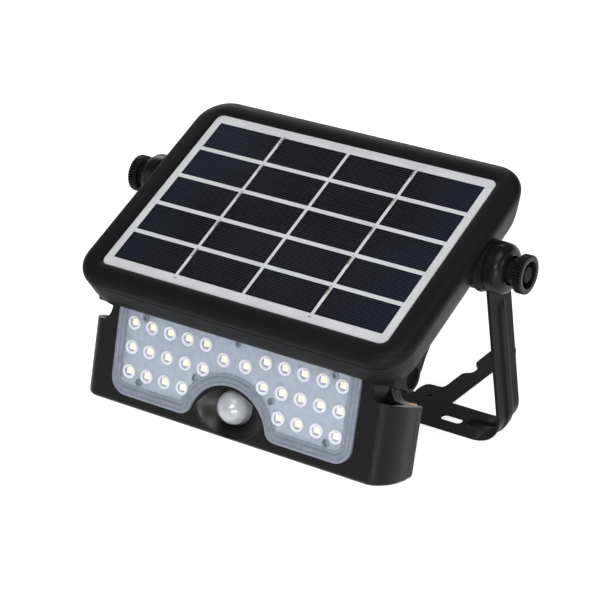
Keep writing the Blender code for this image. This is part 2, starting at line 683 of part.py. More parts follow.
def build_head_shells():
    hinge = hinge_in_head()
    shell = add_object("head_front_shell", loft(head_body_rings()), HEAD, TEXTURED_PLASTIC)
    cavity = extruded([cavity_outline(86 * MM, -10 * MM)], -40 * MM, HEAD_FACE - FACE_WALL)
    shoulders = [add_object(f"shoulder_{name}", shoulder_cutter(side), HEAD) for side, name in SIDES]
    combine(shell, "DIFFERENCE", add_object("head_cavity", cavity, HEAD), *shoulders)
    boss = extruded([sensor_oval(17 * MM, 13.7 * MM)], -8 * MM, -1 * MM)
    foot = HEAD_BACK + 2.5 * MM
    posts = [cylinder(3.6 * MM, foot, -2 * MM, along_z(place)) for place in cover_screw_places()]
    combine(shell, "UNION", add_object("sensor_boss", boss, HEAD))
    combine(shell, "UNION", add_object("cover_posts", merged(posts), HEAD))
    dish = add_object("sensor_dish", sensor_dish(), HEAD)
    under_arch = cylinder(ARCH_RADIUS - ARCH_LIP, -12 * MM, 4 * MM, along_z((0, ARCH_CENTRE)), 60)
    combine(dish, "INTERSECT", add_object("under_arch", under_arch, HEAD))
    cuts = [dish]
    cuts.append(add_object("lens_window", lens_shape((4,), -6, 3), HEAD))
    cuts.append(add_object("lens_rebate", lens_shape((-0.3,), -0.9, 3), HEAD))
    bores = []
    for side, name in SIDES:
        bores.append(cylinder(PIN_BORE, 70 * MM, 80 * MM, along_x((hinge.y, hinge.z), side), 20))
    for place in cover_screw_places():
        bores.append(cylinder(COVER_SCREW_BORE, HEAD_BACK, -9 * MM, along_z(place)))
    cuts.append(add_object("head_bores", merged(bores), HEAD))
    combine(shell, "DIFFERENCE", *cuts)
    levels = ((0.0, HEAD_SEAM - GAP), (0.0, -26.5 * MM), (1.8 * MM, HEAD_BACK))
    side_top = HEAD_TOP - 12 * MM
    rings = [[(x, y, z) for x, y in head_outline(inset, side_top)] for inset, z in levels]
    cover = add_object("head_rear_cover", loft(rings), HEAD, TEXTURED_PLASTIC)
    hollow = extruded([cavity_outline(83 * MM, -9 * MM)], HEAD_SEAM - 4.3 * MM, HEAD_SEAM + 2 * MM)
    holes = []
    for side, name in SIDES:
        centre = (side * SHOULDER_INSERT[0], SHOULDER_INSERT[1])
        holes.append(cylinder(2.2 * MM, -9.2 * MM, 0.0, along_y(centre)))
    seat = [(3 * MM, HEAD_BACK - 1 * MM), (3 * MM, -27.4 * MM)]
    seat += [(COVER_SCREW_BORE, -27.4 * MM), (COVER_SCREW_BORE, -25 * MM)]
    for place in cover_screw_places():
        holes.append(turned(seat, along_z(place), 12))
    cutters = [add_object("cover_hollow", hollow, HEAD), add_object("cover_bores", merged(holes), HEAD)]
    combine(cover, "DIFFERENCE", *cutters, *shoulders)


def build_head_optics():
    levels = ((0.3, 0.2), (0.3, 1.5), (0.9, 2.05), (2.3, 2.05))
    levels += ((2.8, 1.7), (3.4, 2.0), (5.4, 2.0), (6.2, 1.6))
    rings = [[(x, y, z * MM) for x, y in lens_outline(inset * MM)] for inset, z in levels]
    lens = add_object("lens_plate", loft(rings), HEAD, LENS)
    bumps = []
    for x, y in led_places():
        profile = [(3.6 * MM, 1.0 * MM), (3.6 * MM, 1.9 * MM), (2.2 * MM, 2.4 * MM)]
        bumps.append(turned(profile, along_z((x, y)), 8))
    combine(lens, "UNION", add_object("lens_bumps", merged(bumps), HEAD))
    add_object("lens_seal", lens_shape((0.5, 3.6), -0.6, -0.1), HEAD, RUBBER)
    board = add_object("led_board", lens_shape((4.4,), -2.5, -0.9), HEAD, WHITE_BOARD)
    chips = []
    for x, y in led_places():
        chips.append(box((x - 1.75 * MM, y - 1.4 * MM, -1.4 * MM), (x + 1.75 * MM, y + 1.4 * MM, -0.2 * MM)))
    combine(board, "UNION", add_object("led_chips", merged(chips), HEAD))
    plate = add_object("heat_plate", lens_shape((3,), -5, -3.5), HEAD, ALUMINIUM)
    holes = [cylinder(1.2 * MM, -8 * MM, 1 * MM, along_z(place), 10) for place in board_screw_places()]
    bores = add_object("board_screw_holes", merged(holes), HEAD)
    combine(board, "DIFFERENCE", bores)
    combine(plate, "DIFFERENCE", bores)
    for index, place in enumerate(board_screw_places()):
        profile = [(0.9 * MM, -4.9 * MM), (0.9 * MM, -0.6 * MM)]
        profile += [(1.9 * MM, -0.6 * MM), (1.7 * MM, -0.15 * MM)]
        add_object(f"board_screw_{index + 1}", turned(profile, along_z(place), 10), HEAD, BRIGHT_STEEL)


def build_sensor():
    centre = -4.2 * MM
    wall = 1.1 * MM
    inside = arc((0, centre), DOME_RADIUS - wall, 68, 4, 3)
    outside = arc((0, centre), DOME_RADIUS, 4, 74, 5)
    profile = [(0, centre + DOME_RADIUS - wall)] + inside + [(DOME_RADIUS - wall, -11.6 * MM)]
    profile += [(DOME_RADIUS, -11.6 * MM), (DOME_RADIUS, -9.6 * MM), (10.4 * MM, -9.6 * MM)]
    profile += [(10.4 * MM, -8.3 * MM), (DOME_RADIUS, -8.3 * MM)] + outside + [(0, centre + DOME_RADIUS)]
    add_object("sensor_dome", turned(profile, along_z((0, PIR_Y)), 16), HEAD, MILKY)
    can = [(4.4 * MM, -11.6 * MM), (4.4 * MM, -11 * MM), (4 * MM, -11 * MM)]
    can += [(4 * MM, -6.6 * MM), (3.7 * MM, -6.3 * MM)]
    add_object("motion_sensor", turned(can, along_z((0, PIR_Y)), 20), HEAD, BRIGHT_STEEL)
    board = cylinder(11 * MM, -13.5 * MM, -11.9 * MM, along_z((0, PIR_Y)), 24)
    add_object("sensor_board", board, HEAD, CIRCUIT)


def build_head_fasteners():
    for index, place in enumerate(cover_screw_places()):
        profile = [(2.6 * MM, -28.6 * MM), (2.6 * MM, -27.7 * MM)]
        profile += [(1.4 * MM, -27.7 * MM), (1.4 * MM, -10 * MM)]
        add_object(f"cover_screw_{index + 1}", turned(profile, along_z(place), 12), HEAD, BRIGHT_STEEL)
    for side, name in SIDES:
        centre = (side * SHOULDER_INSERT[0], SHOULDER_INSERT[1])
        profile = [(1 * MM, -8.8 * MM), (1.9 * MM, -8.8 * MM), (1.9 * MM, -5.1 * MM), (1 * MM, -5.1 * MM)]
        add_object(f"shoulder_insert_{name}", turned(profile, along_y(centre), 12, closed=True), HEAD, BRASS)


# ---------------------------------------------------------------- knobs

def build_knobs():
    pivot = (PIVOT_Y, PIVOT_Z)
    for side, name in SIDES:
        frame = KNOB_FRAMES[name]
        on_pivot = along_x(pivot, side)
        profile = [(THREAD_RADIUS, 105.2 * MM), (KNOB_NECK_RADIUS, 105.2 * MM)]
        profile += [(KNOB_NECK_RADIUS, KNOB_DISC_START), (9.3 * MM, KNOB_DISC_START)]
        profile += [(KNOB_RADIUS, 114.5 * MM), (KNOB_RADIUS, 117.9 * MM), (9.8 * MM, 118.2 * MM)]
        profile += [(9.3 * MM, KNOB_END), (6.4 * MM, KNOB_END), (6.4 * MM, 114.8 * MM)]
        profile += [(THREAD_RADIUS, 114.8 * MM)]
        knob = turned(profile, on_pivot, 2 * KNOB_FLUTES, closed=True)
        press_flutes(knob, pivot, KNOB_RADIUS, KNOB_FLUTES)
        add_object(f"clamp_knob_{name}", knob, frame, PLASTIC)
        head = cylinder(HEX_HEAD_RADIUS, 115.1 * MM, 118.1 * MM, on_pivot, 6)
        bolt = add_object(f"clamp_bolt_{name}", head, frame, BRIGHT_STEEL)
        shank = cylinder(BOLT_RADIUS, 88.4 * MM, 115.6 * MM, on_pivot, 18)
        combine(bolt, "UNION", add_object(f"bolt_shank_{name}", shank, frame))


clear_scene()
PARTS = make_collection("solar_flood_light")
CUTTERS = make_collection("cutters")
SIDES = ((1, "right"), (-1, "left"))

STEEL = make_material("painted_steel", (0.052, 0.053, 0.057), 0.45)
PLASTIC = make_material("grey_plastic", (0.035, 0.035, 0.038), 0.5)
TEXTURED_PLASTIC = make_material("grained_plastic", (0.04, 0.04, 0.043), 0.6)
RUBBER = make_material("black_rubber", (0.012, 0.012, 0.013), 0.7)
LAMINATE = make_material("solar_laminate", (0.03, 0.035, 0.06), 0.2)
LENS = make_material("clear_lens", (0.78, 0.82, 0.88), 0.1, alpha=0.4)
WHITE_BOARD = make_material("white_board", (0.8, 0.82, 0.85), 0.4)
MILKY = make_material("milky_dome", (0.85, 0.87, 0.9), 0.3)
CIRCUIT = make_material("circuit_green", (0.02, 0.15, 0.06), 0.4)
ALUMINIUM = make_material("aluminium", (0.7, 0.7, 0.72), 0.35, 1.0)
BRIGHT_STEEL = make_material("bright_steel", (0.6, 0.6, 0.6), 0.3, 1.0)
BRASS = make_material("brass", (0.7, 0.5, 0.25), 0.35, 1.0)
BATTERY_WRAP = make_material("battery_wrap", (0.05, 0.2, 0.5), 0.4)

HOUSING_MATRIX = (Matrix.Translation((0, 0, PIVOT_HEIGHT)) @ Matrix.Rotation(HOUSING_TILT, 4, "X")
                  @ Matrix.Translation((0, -PIVOT_Y, -PIVOT_Z)))
HEAD_MATRIX = (HOUSING_MATRIX @ Matrix.Translation((0, LED_ROW_Y, LED_ROW_Z))
               @ Matrix.Rotation(HEAD_TILT, 4, "X"))
BRACKET = Frame("bracket_axis", Matrix.Identity(4), (0, 0, 0))
HOUSING = Frame("swivel_axis", HOUSING_MATRIX, (0, PIVOT_Y, PIVOT_Z))
HEAD = Frame("head_axis", HEAD_MATRIX, hinge_in_head())
BUTTON = Frame("button_axis", HOUSING_MATRIX, (0, BUTTON_Y, FLOOR_Z))
KNOB_FRAMES = {name: Frame(f"knob_axis_{name}", HOUSING_MATRIX, (0, PIVOT_Y, PIVOT_Z)) for _, name in SIDES}

build_bracket()
build_bezel()
build_panel()
build_rear_housing()
build_housing_fittings()
build_electronics()
build_head_shells()
build_head_optics()
build_sensor()
build_head_fasteners()
build_knobs()
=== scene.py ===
"""Looks of the solar flood light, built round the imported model.

Lengths in the shape code are millimetres in a body's own frame; `shape` turns them into metres.
"""

import json
import math

import bmesh
import bpy
from mathutils import Matrix, Vector


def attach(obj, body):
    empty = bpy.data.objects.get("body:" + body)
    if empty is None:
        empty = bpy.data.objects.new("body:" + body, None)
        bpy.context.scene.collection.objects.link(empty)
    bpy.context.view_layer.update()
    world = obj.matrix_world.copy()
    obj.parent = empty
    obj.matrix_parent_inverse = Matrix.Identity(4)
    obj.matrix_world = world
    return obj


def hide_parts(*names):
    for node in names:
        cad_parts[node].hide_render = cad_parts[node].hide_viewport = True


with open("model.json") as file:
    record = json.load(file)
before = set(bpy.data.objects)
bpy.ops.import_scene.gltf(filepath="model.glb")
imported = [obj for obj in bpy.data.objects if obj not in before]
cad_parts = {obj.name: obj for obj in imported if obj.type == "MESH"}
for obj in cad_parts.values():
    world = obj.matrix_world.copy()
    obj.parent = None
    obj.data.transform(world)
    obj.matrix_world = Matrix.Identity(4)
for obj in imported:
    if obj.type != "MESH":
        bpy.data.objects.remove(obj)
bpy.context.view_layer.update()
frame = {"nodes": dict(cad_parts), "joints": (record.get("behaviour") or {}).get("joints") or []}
JOINTS = {joint["name"]: joint for joint in frame["joints"]}
MM = 0.001
SIDES = ((1, "right"), (-1, "left"))

# Body frames
PIVOT = Vector(JOINTS["swivel"]["pos_m"])
PIVOT_Y, PIVOT_Z = 18.8, -17.3
HINGE_Y, HINGE_Z = -49.7, -30.05
HEAD_ORIGIN_Y, HEAD_ORIGIN_Z = -69.05, -24.91
HEAD_TILT = math.radians(51.88)
PIVOT_HEIGHT = PIVOT.z / MM
HOUSING = (Matrix.Translation(PIVOT) @ Matrix.Rotation(math.radians(12.9), 4, "X")
           @ Matrix.Translation((0, -PIVOT_Y * MM, -PIVOT_Z * MM)))
HEAD = (HOUSING @ Matrix.Translation((0, HEAD_ORIGIN_Y * MM, HEAD_ORIGIN_Z * MM))
        @ Matrix.Rotation(HEAD_TILT, 4, "X"))
WORLD = Matrix.Identity(4)


# ---------------------------------------------------------------- shapes

def arc(centre, radius, start, end, steps):
    points = []
    for i in range(steps + 1):
        angle = math.radians(start + (end - start) * i / steps)
        points.append((centre[0] + radius * math.cos(angle), centre[1] + radius * math.sin(angle)))
    return points


def circle(centre, radius, steps):
    return arc(centre, radius, 0, 360 * (steps - 1) / steps, steps - 1)


def rounded_rectangle(half_x, low, high, radius, steps=14):
    corners = ((half_x, high, 0), (-half_x, high, 90), (-half_x, low, 180), (half_x, low, 270))
    points = []
    for x, y, start in corners:
        centre = (x - math.copysign(radius, x), y - (radius if y == high else -radius))
        points += arc(centre, radius, start, start + 90, steps)
    return points


def smooth(points, steps=4):
    """Catmull-Rom curve through tuples of any length."""
    result = []
    for i in range(len(points) - 1):
        a, b, c, d = (points[max(0, min(len(points) - 1, i + k))] for k in (-1, 0, 1, 2))
        for step in range(steps):
            t = step / steps
            row = []
            for p, q, r, s in zip(a, b, c, d):
                row.append(0.5 * (2 * q + (r - p) * t + (2 * p - 5 * q + 4 * r - s) * t * t
                                  + (3 * q - p - 3 * r + s) * t ** 3))
            result.append(tuple(row))
    return result + [tuple(points[-1])]


def loft(rings, closed=False):
    bm = bmesh.new()
    rows = [[bm.verts.new(point) for point in ring] for ring in rings]
    pairs = list(zip(rows, rows[1:]))
    if closed:
        pairs.append((rows[-1], rows[0]))
    else:
        bm.faces.new(rows[0])
        bm.faces.new(rows[-1])
    count = len(rows[0])
    for lower, upper in pairs:
        for i in range(count):
            j = (i + 1) % count
            bm.faces.new((lower[i], lower[j], upper[j], upper[i]))
    return bm


def prism(outline, low, high, axis="z"):
    def place(point, height):
        if axis == "x":
            return (height, point[0], point[1])
        if axis == "y":
            return (point[0], height, point[1])
        return (point[0], point[1], height)
    return loft([[place(p, low) for p in outline], [place(p, high) for p in outline]])


def box(low, high):
    outline = [(low[0], low[1]), (high[0], low[1]), (high[0], high[1]), (low[0], high[1])]
    return prism(outline, low[2], high[2])


def turned_x(profile, centre, steps=64, closed=True, side=1, reach=None):
    """Lathe (x, radius) points about X; `reach(index, i)` may change a radius round the turn."""
    rings = []
    for index, (x, radius) in enumerate(profile):
        ring = []
        for i in range(steps):
            angle = 2 * math.pi * i / steps
            r = radius + (reach(index, i) if reach else 0.0)
            ring.append((side * x, centre[0] + r * math.cos(angle), centre[1] + r * math.sin(angle)))
        rings.append(ring)
    return loft(rings, closed)


def turned_z(profile, centre, steps=48, closed=True):
    rings = []
    for radius, z in profile:
        rings.append([(x, y, z) for x, y in circle(centre, radius, steps)])
    return loft(rings, closed)


def merged(pieces):
    total = bmesh.new()
    for piece in pieces:
        mesh = bpy.data.meshes.new("piece")
        piece.to_mesh(mesh)
        piece.free()
        total.from_mesh(mesh)
        bpy.data.meshes.remove(mesh)
    return total


def shape(bm, matrix, name="cutter"):
    """An object from a bmesh in millimetres of the frame that matrix places."""
    bmesh.ops.recalc_face_normals(bm, faces=bm.faces)
    bm.transform(Matrix.Scale(MM, 4))
    mesh = bpy.data.meshes.new(name)
    bm.to_mesh(mesh)
    bm.free()
    obj = bpy.data.objects.new(name, mesh)
    bpy.context.scene.collection.objects.link(obj)
    obj.matrix_world = matrix
    return obj


def bake(obj):
    """Replace the object's mesh with its evaluated one."""
    bpy.context.view_layer.update()
    evaluated = obj.evaluated_get(bpy.context.evaluated_depsgraph_get())
    mesh = bpy.data.meshes.new_from_object(evaluated)
    old = obj.data
    obj.modifiers.clear()
    obj.data = mesh
    mesh.name = obj.name
    bpy.data.meshes.remove(old)


def combine(obj, operation, *others):
    for other in others:
        modifier = obj.modifiers.new("combine", "BOOLEAN")
        modifier.operation = operation
        modifier.solver = "EXACT"
        modifier.object = other
    bake(obj)
    for other in others:
        mesh = other.data
        bpy.data.objects.remove(other, do_unlink=True)
        bpy.data.meshes.remove(mesh)


def soften(obj, width, segments=2, angle=35):
    """Round every edge sharper than the angle."""
    bm = bmesh.new()
    bm.from_mesh(obj.data)
    bmesh.ops.remove_doubles(bm, verts=bm.verts, dist=0.00001)
    bmesh.ops.dissolve_degenerate(bm, edges=bm.edges, dist=0.00001)
    bm.to_mesh(obj.data)
    bm.free()
    modifier = obj.modifiers.new("soften", "BEVEL")
    modifier.width = width * MM
    modifier.segments = segments
    modifier.limit_method = "ANGLE"
    modifier.angle_limit = math.radians(angle)
    modifier.miter_outer = "MITER_ARC"


def piece(obj, name, body, nodes, material, slot, angle=40, weighted=True):
    """Name, finish and attach an object that stands for CAD nodes."""
    obj.name = name
    if not obj.data.materials:
        obj.data.materials.append(material)
    if obj.modifiers:
        bake(obj)
        angle = max(angle, 50)
    obj.data.shade_smooth()
    obj.data.set_sharp_from_angle(angle=math.radians(angle))
    if weighted:
        normals = obj.modifiers.new("normals", "WEIGHTED_NORMAL")
        normals.keep_sharp = True
        normals.weight = 95
    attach(obj, body)
    if nodes:
        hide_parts(*nodes)
    return obj


# ---------------------------------------------------------------- materials

def new_material(name, values):
    material = bpy.data.materials.new(name)
    material.use_nodes = True
    shader = material.node_tree.nodes["Principled BSDF"]
    for key, value in values.items():
        shader.inputs[key].default_value = value
    return material, material.node_tree, shader


def node(tree, kind, inputs, **settings):
    made = tree.nodes.new(kind)
    for key, value in settings.items():
        setattr(made, key, value)
    for key, value in inputs.items():
        if isinstance(value, bpy.types.NodeSocket):
            tree.links.new(value, made.inputs[key])
        else:
            made.inputs[key].default_value = value
    return made


def place_of(tree):
    return node(tree, "ShaderNodeTexCoord", {}).outputs["Object"]


def noise(tree, vector, scale, detail=3.0, roughness=0.55):
    inputs = {"Vector": vector, "Scale": scale, "Detail": detail, "Roughness": roughness}
    return node(tree, "ShaderNodeTexNoise", inputs).outputs["Fac"]


def ramp(tree, value, stops):
    made = node(tree, "ShaderNodeValToRGB", {"Fac": value})
    elements = made.color_ramp.elements
    while len(elements) < len(stops):
        elements.new(0.5)
    for element, (position, colour) in zip(elements, stops):
        element.position = position
        element.color = (*colour, 1.0)
    return made.outputs["Color"]


def span(tree, value, low, high, to_low, to_high):
    inputs = {"Value": value, "From Min": low, "From Max": high, "To Min": to_low, "To Max": to_high}
    return node(tree, "ShaderNodeMapRange", inputs).outputs["Result"]


def math_node(tree, operation, a, b=0.0):
    made = node(tree, "ShaderNodeMath", {0: a, 1: b}, operation=operation)
    return made.outputs[0]


def bump(tree, shader, height, strength, distance):
    inputs = {"Height": height, "Strength": strength, "Distance": distance * MM}
    tree.links.new(node(tree, "ShaderNodeBump", inputs).outputs["Normal"], shader.inputs["Normal"])


def moulded(name, dark, light, roughness, grain, depth, coat=0.0, gloss=0.2):
    """Moulded plastic or paint: a grain in its surface and a cloudy gloss."""
    values = {"Coat Weight": coat, "Coat Roughness": 0.25, "IOR": 1.38, "Specular IOR Level": gloss}
    material, tree, shader = new_material(name, values)
    place = place_of(tree)
    cloud = noise(tree, place, 38, 4)
    fine = noise(tree, place, grain, 2, 0.6)
    colour = ramp(tree, math_node(tree, "ADD", cloud, 0.5), ((0.35, dark), (0.7, light)))
    tree.links.new(colour, shader.inputs["Base Color"])
    speck = math_node(tree, "ADD", span(tree, cloud, 0.3, 0.7, roughness - 0.05, roughness + 0.06),
                      span(tree, fine, 0.3, 0.7, -0.05, 0.05))
    tree.links.new(speck, shader.inputs["Roughness"])
    bump(tree, shader, fine, 1.0, depth)
    return material


def metal(name, colour, roughness, scratch=900.0, depth=0.004):
    material, tree, shader = new_material(name, {"Metallic": 1.0})
    place = place_of(tree)
    cloud = noise(tree, place, 120, 3)
    lines = noise(tree, place, scratch, 2, 0.7)
    tinted = ramp(tree, cloud, ((0.3, tuple(0.8 * c for c in colour)), (0.7, colour)))
    tree.links.new(tinted, shader.inputs["Base Color"])
    tree.links.new(span(tree, lines, 0.3, 0.7, roughness - 0.07, roughness + 0.1), shader.inputs["Roughness"])
    bump(tree, shader, lines, 0.6, depth)
    return material


HOUSING_PLASTIC = moulded("housing_plastic", (0.0052, 0.0052, 0.0058), (0.0078, 0.0078, 0.0086),
                          0.4, 2600, 0.012, gloss=0.09)
HEAD_PLASTIC = moulded("head_plastic", (0.0055, 0.0055, 0.0062), (0.0088, 0.0088, 0.0096),
                       0.35, 1250, 0.19, gloss=0.16)
GLOSS_PLASTIC = moulded("gloss_plastic", (0.003, 0.003, 0.0035), (0.0045, 0.0045, 0.005),
                        0.36, 400, 0.002, gloss=0.5)
CAP_PLASTIC = moulded("cap_plastic", (0.0042, 0.0042, 0.0048), (0.0065, 0.0065, 0.007),
                      0.28, 1500, 0.02, gloss=0.22)
PAINT = moulded("bracket_paint", (0.006, 0.006, 0.0065), (0.009, 0.009, 0.0098),
                0.31, 1700, 0.015, gloss=0.04)
# Near-black rubber, darker than the plastics: black rubber, and on the hinge pin caps also painted shade for
# the dark hollow at each hinge end
SHADE_DARKENED_RUBBER = moulded("rubber", (0.0012, 0.0012, 0.0014), (0.002, 0.002, 0.0022),
                 0.6, 1800, 0.01, gloss=0.04)
GASKET = moulded("gasket", (0.36, 0.38, 0.42), (0.46, 0.48, 0.52), 0.5, 1500, 0.01)
STEEL = metal("plated_steel", (0.55, 0.55, 0.56), 0.3)
DULL_STEEL = metal("dull_steel", (0.22, 0.24, 0.29), 0.6)
SOLDER = metal("solder", (0.3, 0.27, 0.24), 0.45)
BLACK_STEEL = moulded("blackened_steel", (0.003, 0.0038, 0.0042), (0.005, 0.006, 0.0066),
                      0.35, 900, 0.01, gloss=0.05)
BRASS = metal("brass", (0.72, 0.47, 0.22), 0.32)
ALUMINIUM = metal("aluminium_sheet", (0.75, 0.75, 0.77), 0.35)
BOARD_GREEN = moulded("board_green", (0.01, 0.1, 0.04), (0.02, 0.16, 0.06), 0.35, 900, 0.004)
WRAP = moulded("battery_wrap", (0.02, 0.1, 0.3), (0.03, 0.14, 0.4), 0.3, 400, 0.003, coat=0.4)


def laminate_white():
    material, tree, shader = new_material("laminate_white", {"Coat Weight": 0.6, "Coat Roughness": 0.12})
    place = place_of(tree)
    cloud = noise(tree, place, 60, 4)
    weave = noise(tree, place, 1400, 2)
    colour = ramp(tree, cloud, ((0.3, (0.54, 0.545, 0.565)), (0.7, (0.61, 0.615, 0.635))))
    tree.links.new(colour, shader.inputs["Base Color"])
    tree.links.new(span(tree, cloud, 0.3, 0.7, 0.28, 0.4), shader.inputs["Roughness"])
    bump(tree, shader, weave, 0.5, 0.006)
    return material


FINGER_PITCH = 1.31


def laminate_cells():
    """Dark silicon: thin printed fingers along X and a blue tint that drifts over each cell."""
    values = {"Coat Weight": 0.03, "Coat Roughness": 0.15, "Specular IOR Level": 0.12}
    material, tree, shader = new_material("laminate_cells", values)
    place = place_of(tree)
    split = node(tree, "ShaderNodeSeparateXYZ", {"Vector": place})
    turns = math_node(tree, "MULTIPLY", split.outputs["Y"], 1 / (FINGER_PITCH * MM))
    wave = math_node(tree, "PINGPONG", math_node(tree, "ADD", turns, 500.0), 0.5)
    finger = span(tree, wave, 0.06, 0.13, 1.0, 0.0)
    drift = noise(tree, place, 14, 3)
    stretched = node(tree, "ShaderNodeMapping", {"Vector": place, "Scale": (6, 90, 1)}).outputs[0]
    streak = noise(tree, stretched, 6, 4)
    away = math_node(tree, "ABSOLUTE", split.outputs["X"])
    blue = math_node(tree, "ADD", span(tree, away, 0.045, 0.082, 0.0, 0.65),
                     span(tree, drift, 0.35, 0.7, -0.25, 0.35))
    tint = ramp(tree, blue, ((0.0, (0.0055, 0.0052, 0.007)), (1.0, (0.007, 0.01, 0.027))))
    grime = ramp(tree, streak, ((0.3, (0.8, 0.8, 0.8)), (0.75, (1.3, 1.3, 1.3))))
    base = node(tree, "ShaderNodeMix", {0: 1.0, 6: tint, 7: grime}, data_type="RGBA", blend_type="MULTIPLY")
    silver = node(tree, "ShaderNodeMix", {0: finger, 6: base.outputs[2], 7: (0.036, 0.037, 0.042, 1.0)},
                  data_type="RGBA")
    tree.links.new(silver.outputs[2], shader.inputs["Base Color"])
    tree.links.new(span(tree, drift, 0.3, 0.7, 0.18, 0.28), shader.inputs["Roughness"])
    bump(tree, shader, finger, 0.4, 0.01)
    return material


def ribbon_metal():
    values = {"Metallic": 0.6, "Coat Weight": 0.5, "Coat Roughness": 0.1}
    material, tree, shader = new_material("ribbon", values)
    place = place_of(tree)
    patch = noise(tree, place, 700, 3)
    stops = ((0.35, (0.22, 0.2, 0.16)), (0.55, (0.5, 0.48, 0.4)), (0.7, (0.62, 0.6, 0.54)))
    colour = ramp(tree, patch, stops)
    tree.links.new(colour, shader.inputs["Base Color"])
    tree.links.new(span(tree, patch, 0.3, 0.7, 0.35, 0.5), shader.inputs["Roughness"])
    return material


def lens_glass(name, ior, roughness, dark, light, transmission):
    """Moulded clear plastic; its thick edges scatter light and look blue-grey."""
    material, tree, shader = new_material(name, {"Transmission Weight": transmission, "IOR": ior})
    ripple = noise(tree, place_of(tree), 320, 3)
    tree.links.new(ramp(tree, ripple, ((0.3, dark), (0.7, light))), shader.inputs["Base Color"])
    tree.links.new(span(tree, ripple, 0.3, 0.7, roughness, roughness + 0.06), shader.inputs["Roughness"])
    bump(tree, shader, ripple, 0.2, 0.003)
    return material


def milky():
    values = {"Subsurface Weight": 0.35, "Subsurface Radius": (3, 3, 3), "Subsurface Scale": MM,
              "Coat Weight": 1.0, "Coat Roughness": 0.03}
    material, tree, shader = new_material("milky_dome", values)
    place = place_of(tree)
    cloud = noise(tree, place, 160, 3)
    colour = ramp(tree, cloud, ((0.3, (0.3, 0.315, 0.335)), (0.7, (0.36, 0.37, 0.39))))
    tree.links.new(colour, shader.inputs["Base Color"])
    tree.links.new(span(tree, cloud, 0.3, 0.7, 0.3, 0.42), shader.inputs["Roughness"])
    bump(tree, shader, noise(tree, place, 900, 2), 0.3, 0.006)
    return material


def white_enamel(name, dark, light, roughness):
    material, tree, shader = new_material(name, {"Coat Weight": 0.2, "Coat Roughness": 0.2})
    place = place_of(tree)
    cloud = noise(tree, place, 90, 4)
    tree.links.new(ramp(tree, cloud, ((0.3, dark), (0.7, light))), shader.inputs["Base Color"])
    rough = span(tree, cloud, 0.3, 0.7, roughness - 0.05, roughness + 0.08)
    tree.links.new(rough, shader.inputs["Roughness"])
    bump(tree, shader, noise(tree, place, 1600, 2), 0.4, 0.005)
    return material


LAMINATE_WHITE = laminate_white()
LAMINATE_CELLS = laminate_cells()
RIBBON = ribbon_metal()
LENS_CLEAR = lens_glass("lens_clear", 1.15, 0.0, (0.96, 0.97, 0.98), (0.98, 0.985, 0.99), 1.0)
LENS_RIM = lens_glass("lens_rim", 1.38, 0.2, (0.19, 0.215, 0.265), (0.24, 0.265, 0.315), 0.35)
# Opaque grey-white rings round the LED domes: a painted highlight standing in for the bright edge each dome
# shows
DOME_EDGE_HIGHLIGHT = lens_glass("led_dome_highlight", 1.45, 0.15, (0.5, 0.51, 0.56), (0.6, 0.61, 0.65), 0.0)
MILKY = milky()
BOARD_WHITE = white_enamel("board_white", (0.82, 0.88, 0.865), (0.89, 0.94, 0.925), 0.45)
LED_WHITE = white_enamel("led_white", (0.63, 0.63, 0.61), (0.71, 0.71, 0.68), 0.3)
PHOSPHOR = white_enamel("led_phosphor", (0.82, 0.70, 0.38), (0.90, 0.81, 0.52), 0.4)


# ---------------------------------------------------------------- bracket

STRAP_HALF = 10.3
STRAP_THICKNESS = 1.6
ARM_X = 101.6
BEND_RADIUS = 17.6
RIB_HEIGHT = 1.1
RIB_HALF = 4.3
RIB_SLOPE = 2.4
BOLT_CLEARANCE = 3.3
PILOT_HOLES = ((34.0, 3.4), (47.2, 10.6))


def rib_lift(y):
    """Height of the pressed rib across the strap: flat on top with soft sides."""
    t = max(0.0, min(1.0, (RIB_HALF - abs(y)) / RIB_SLOPE))
    return RIB_HEIGHT * t * t * (3 - 2 * t)


def strap_section(x, z, normal, width, rib, dent=None):
    """The strap's outline across Y; `dent` is the pressed-in depth and spread of the inner face."""
    stations = [-width] + [width * f for f in (-0.8, -0.6)] + [-RIB_HALF + 0.43 * i for i in range(21)]
    stations += [width * f for f in (0.6, 0.8)] + [width]
    if width < 7.2:
        stations = [width * (-1 + 2 * i / (len(stations) - 1)) for i in range(len(stations))]
    outer = []
    inner = []
    for y in stations:
        lift = rib * rib_lift(y)
        outer.append((x + normal[0] * lift, y, z + normal[1] * lift))
        depth = (lift if dent is None else dent[0] * rib_lift(y / dent[1])) - STRAP_THICKNESS
        inner.append((x + normal[0] * depth, y, z + normal[1] * depth))
    return outer + inner[::-1]


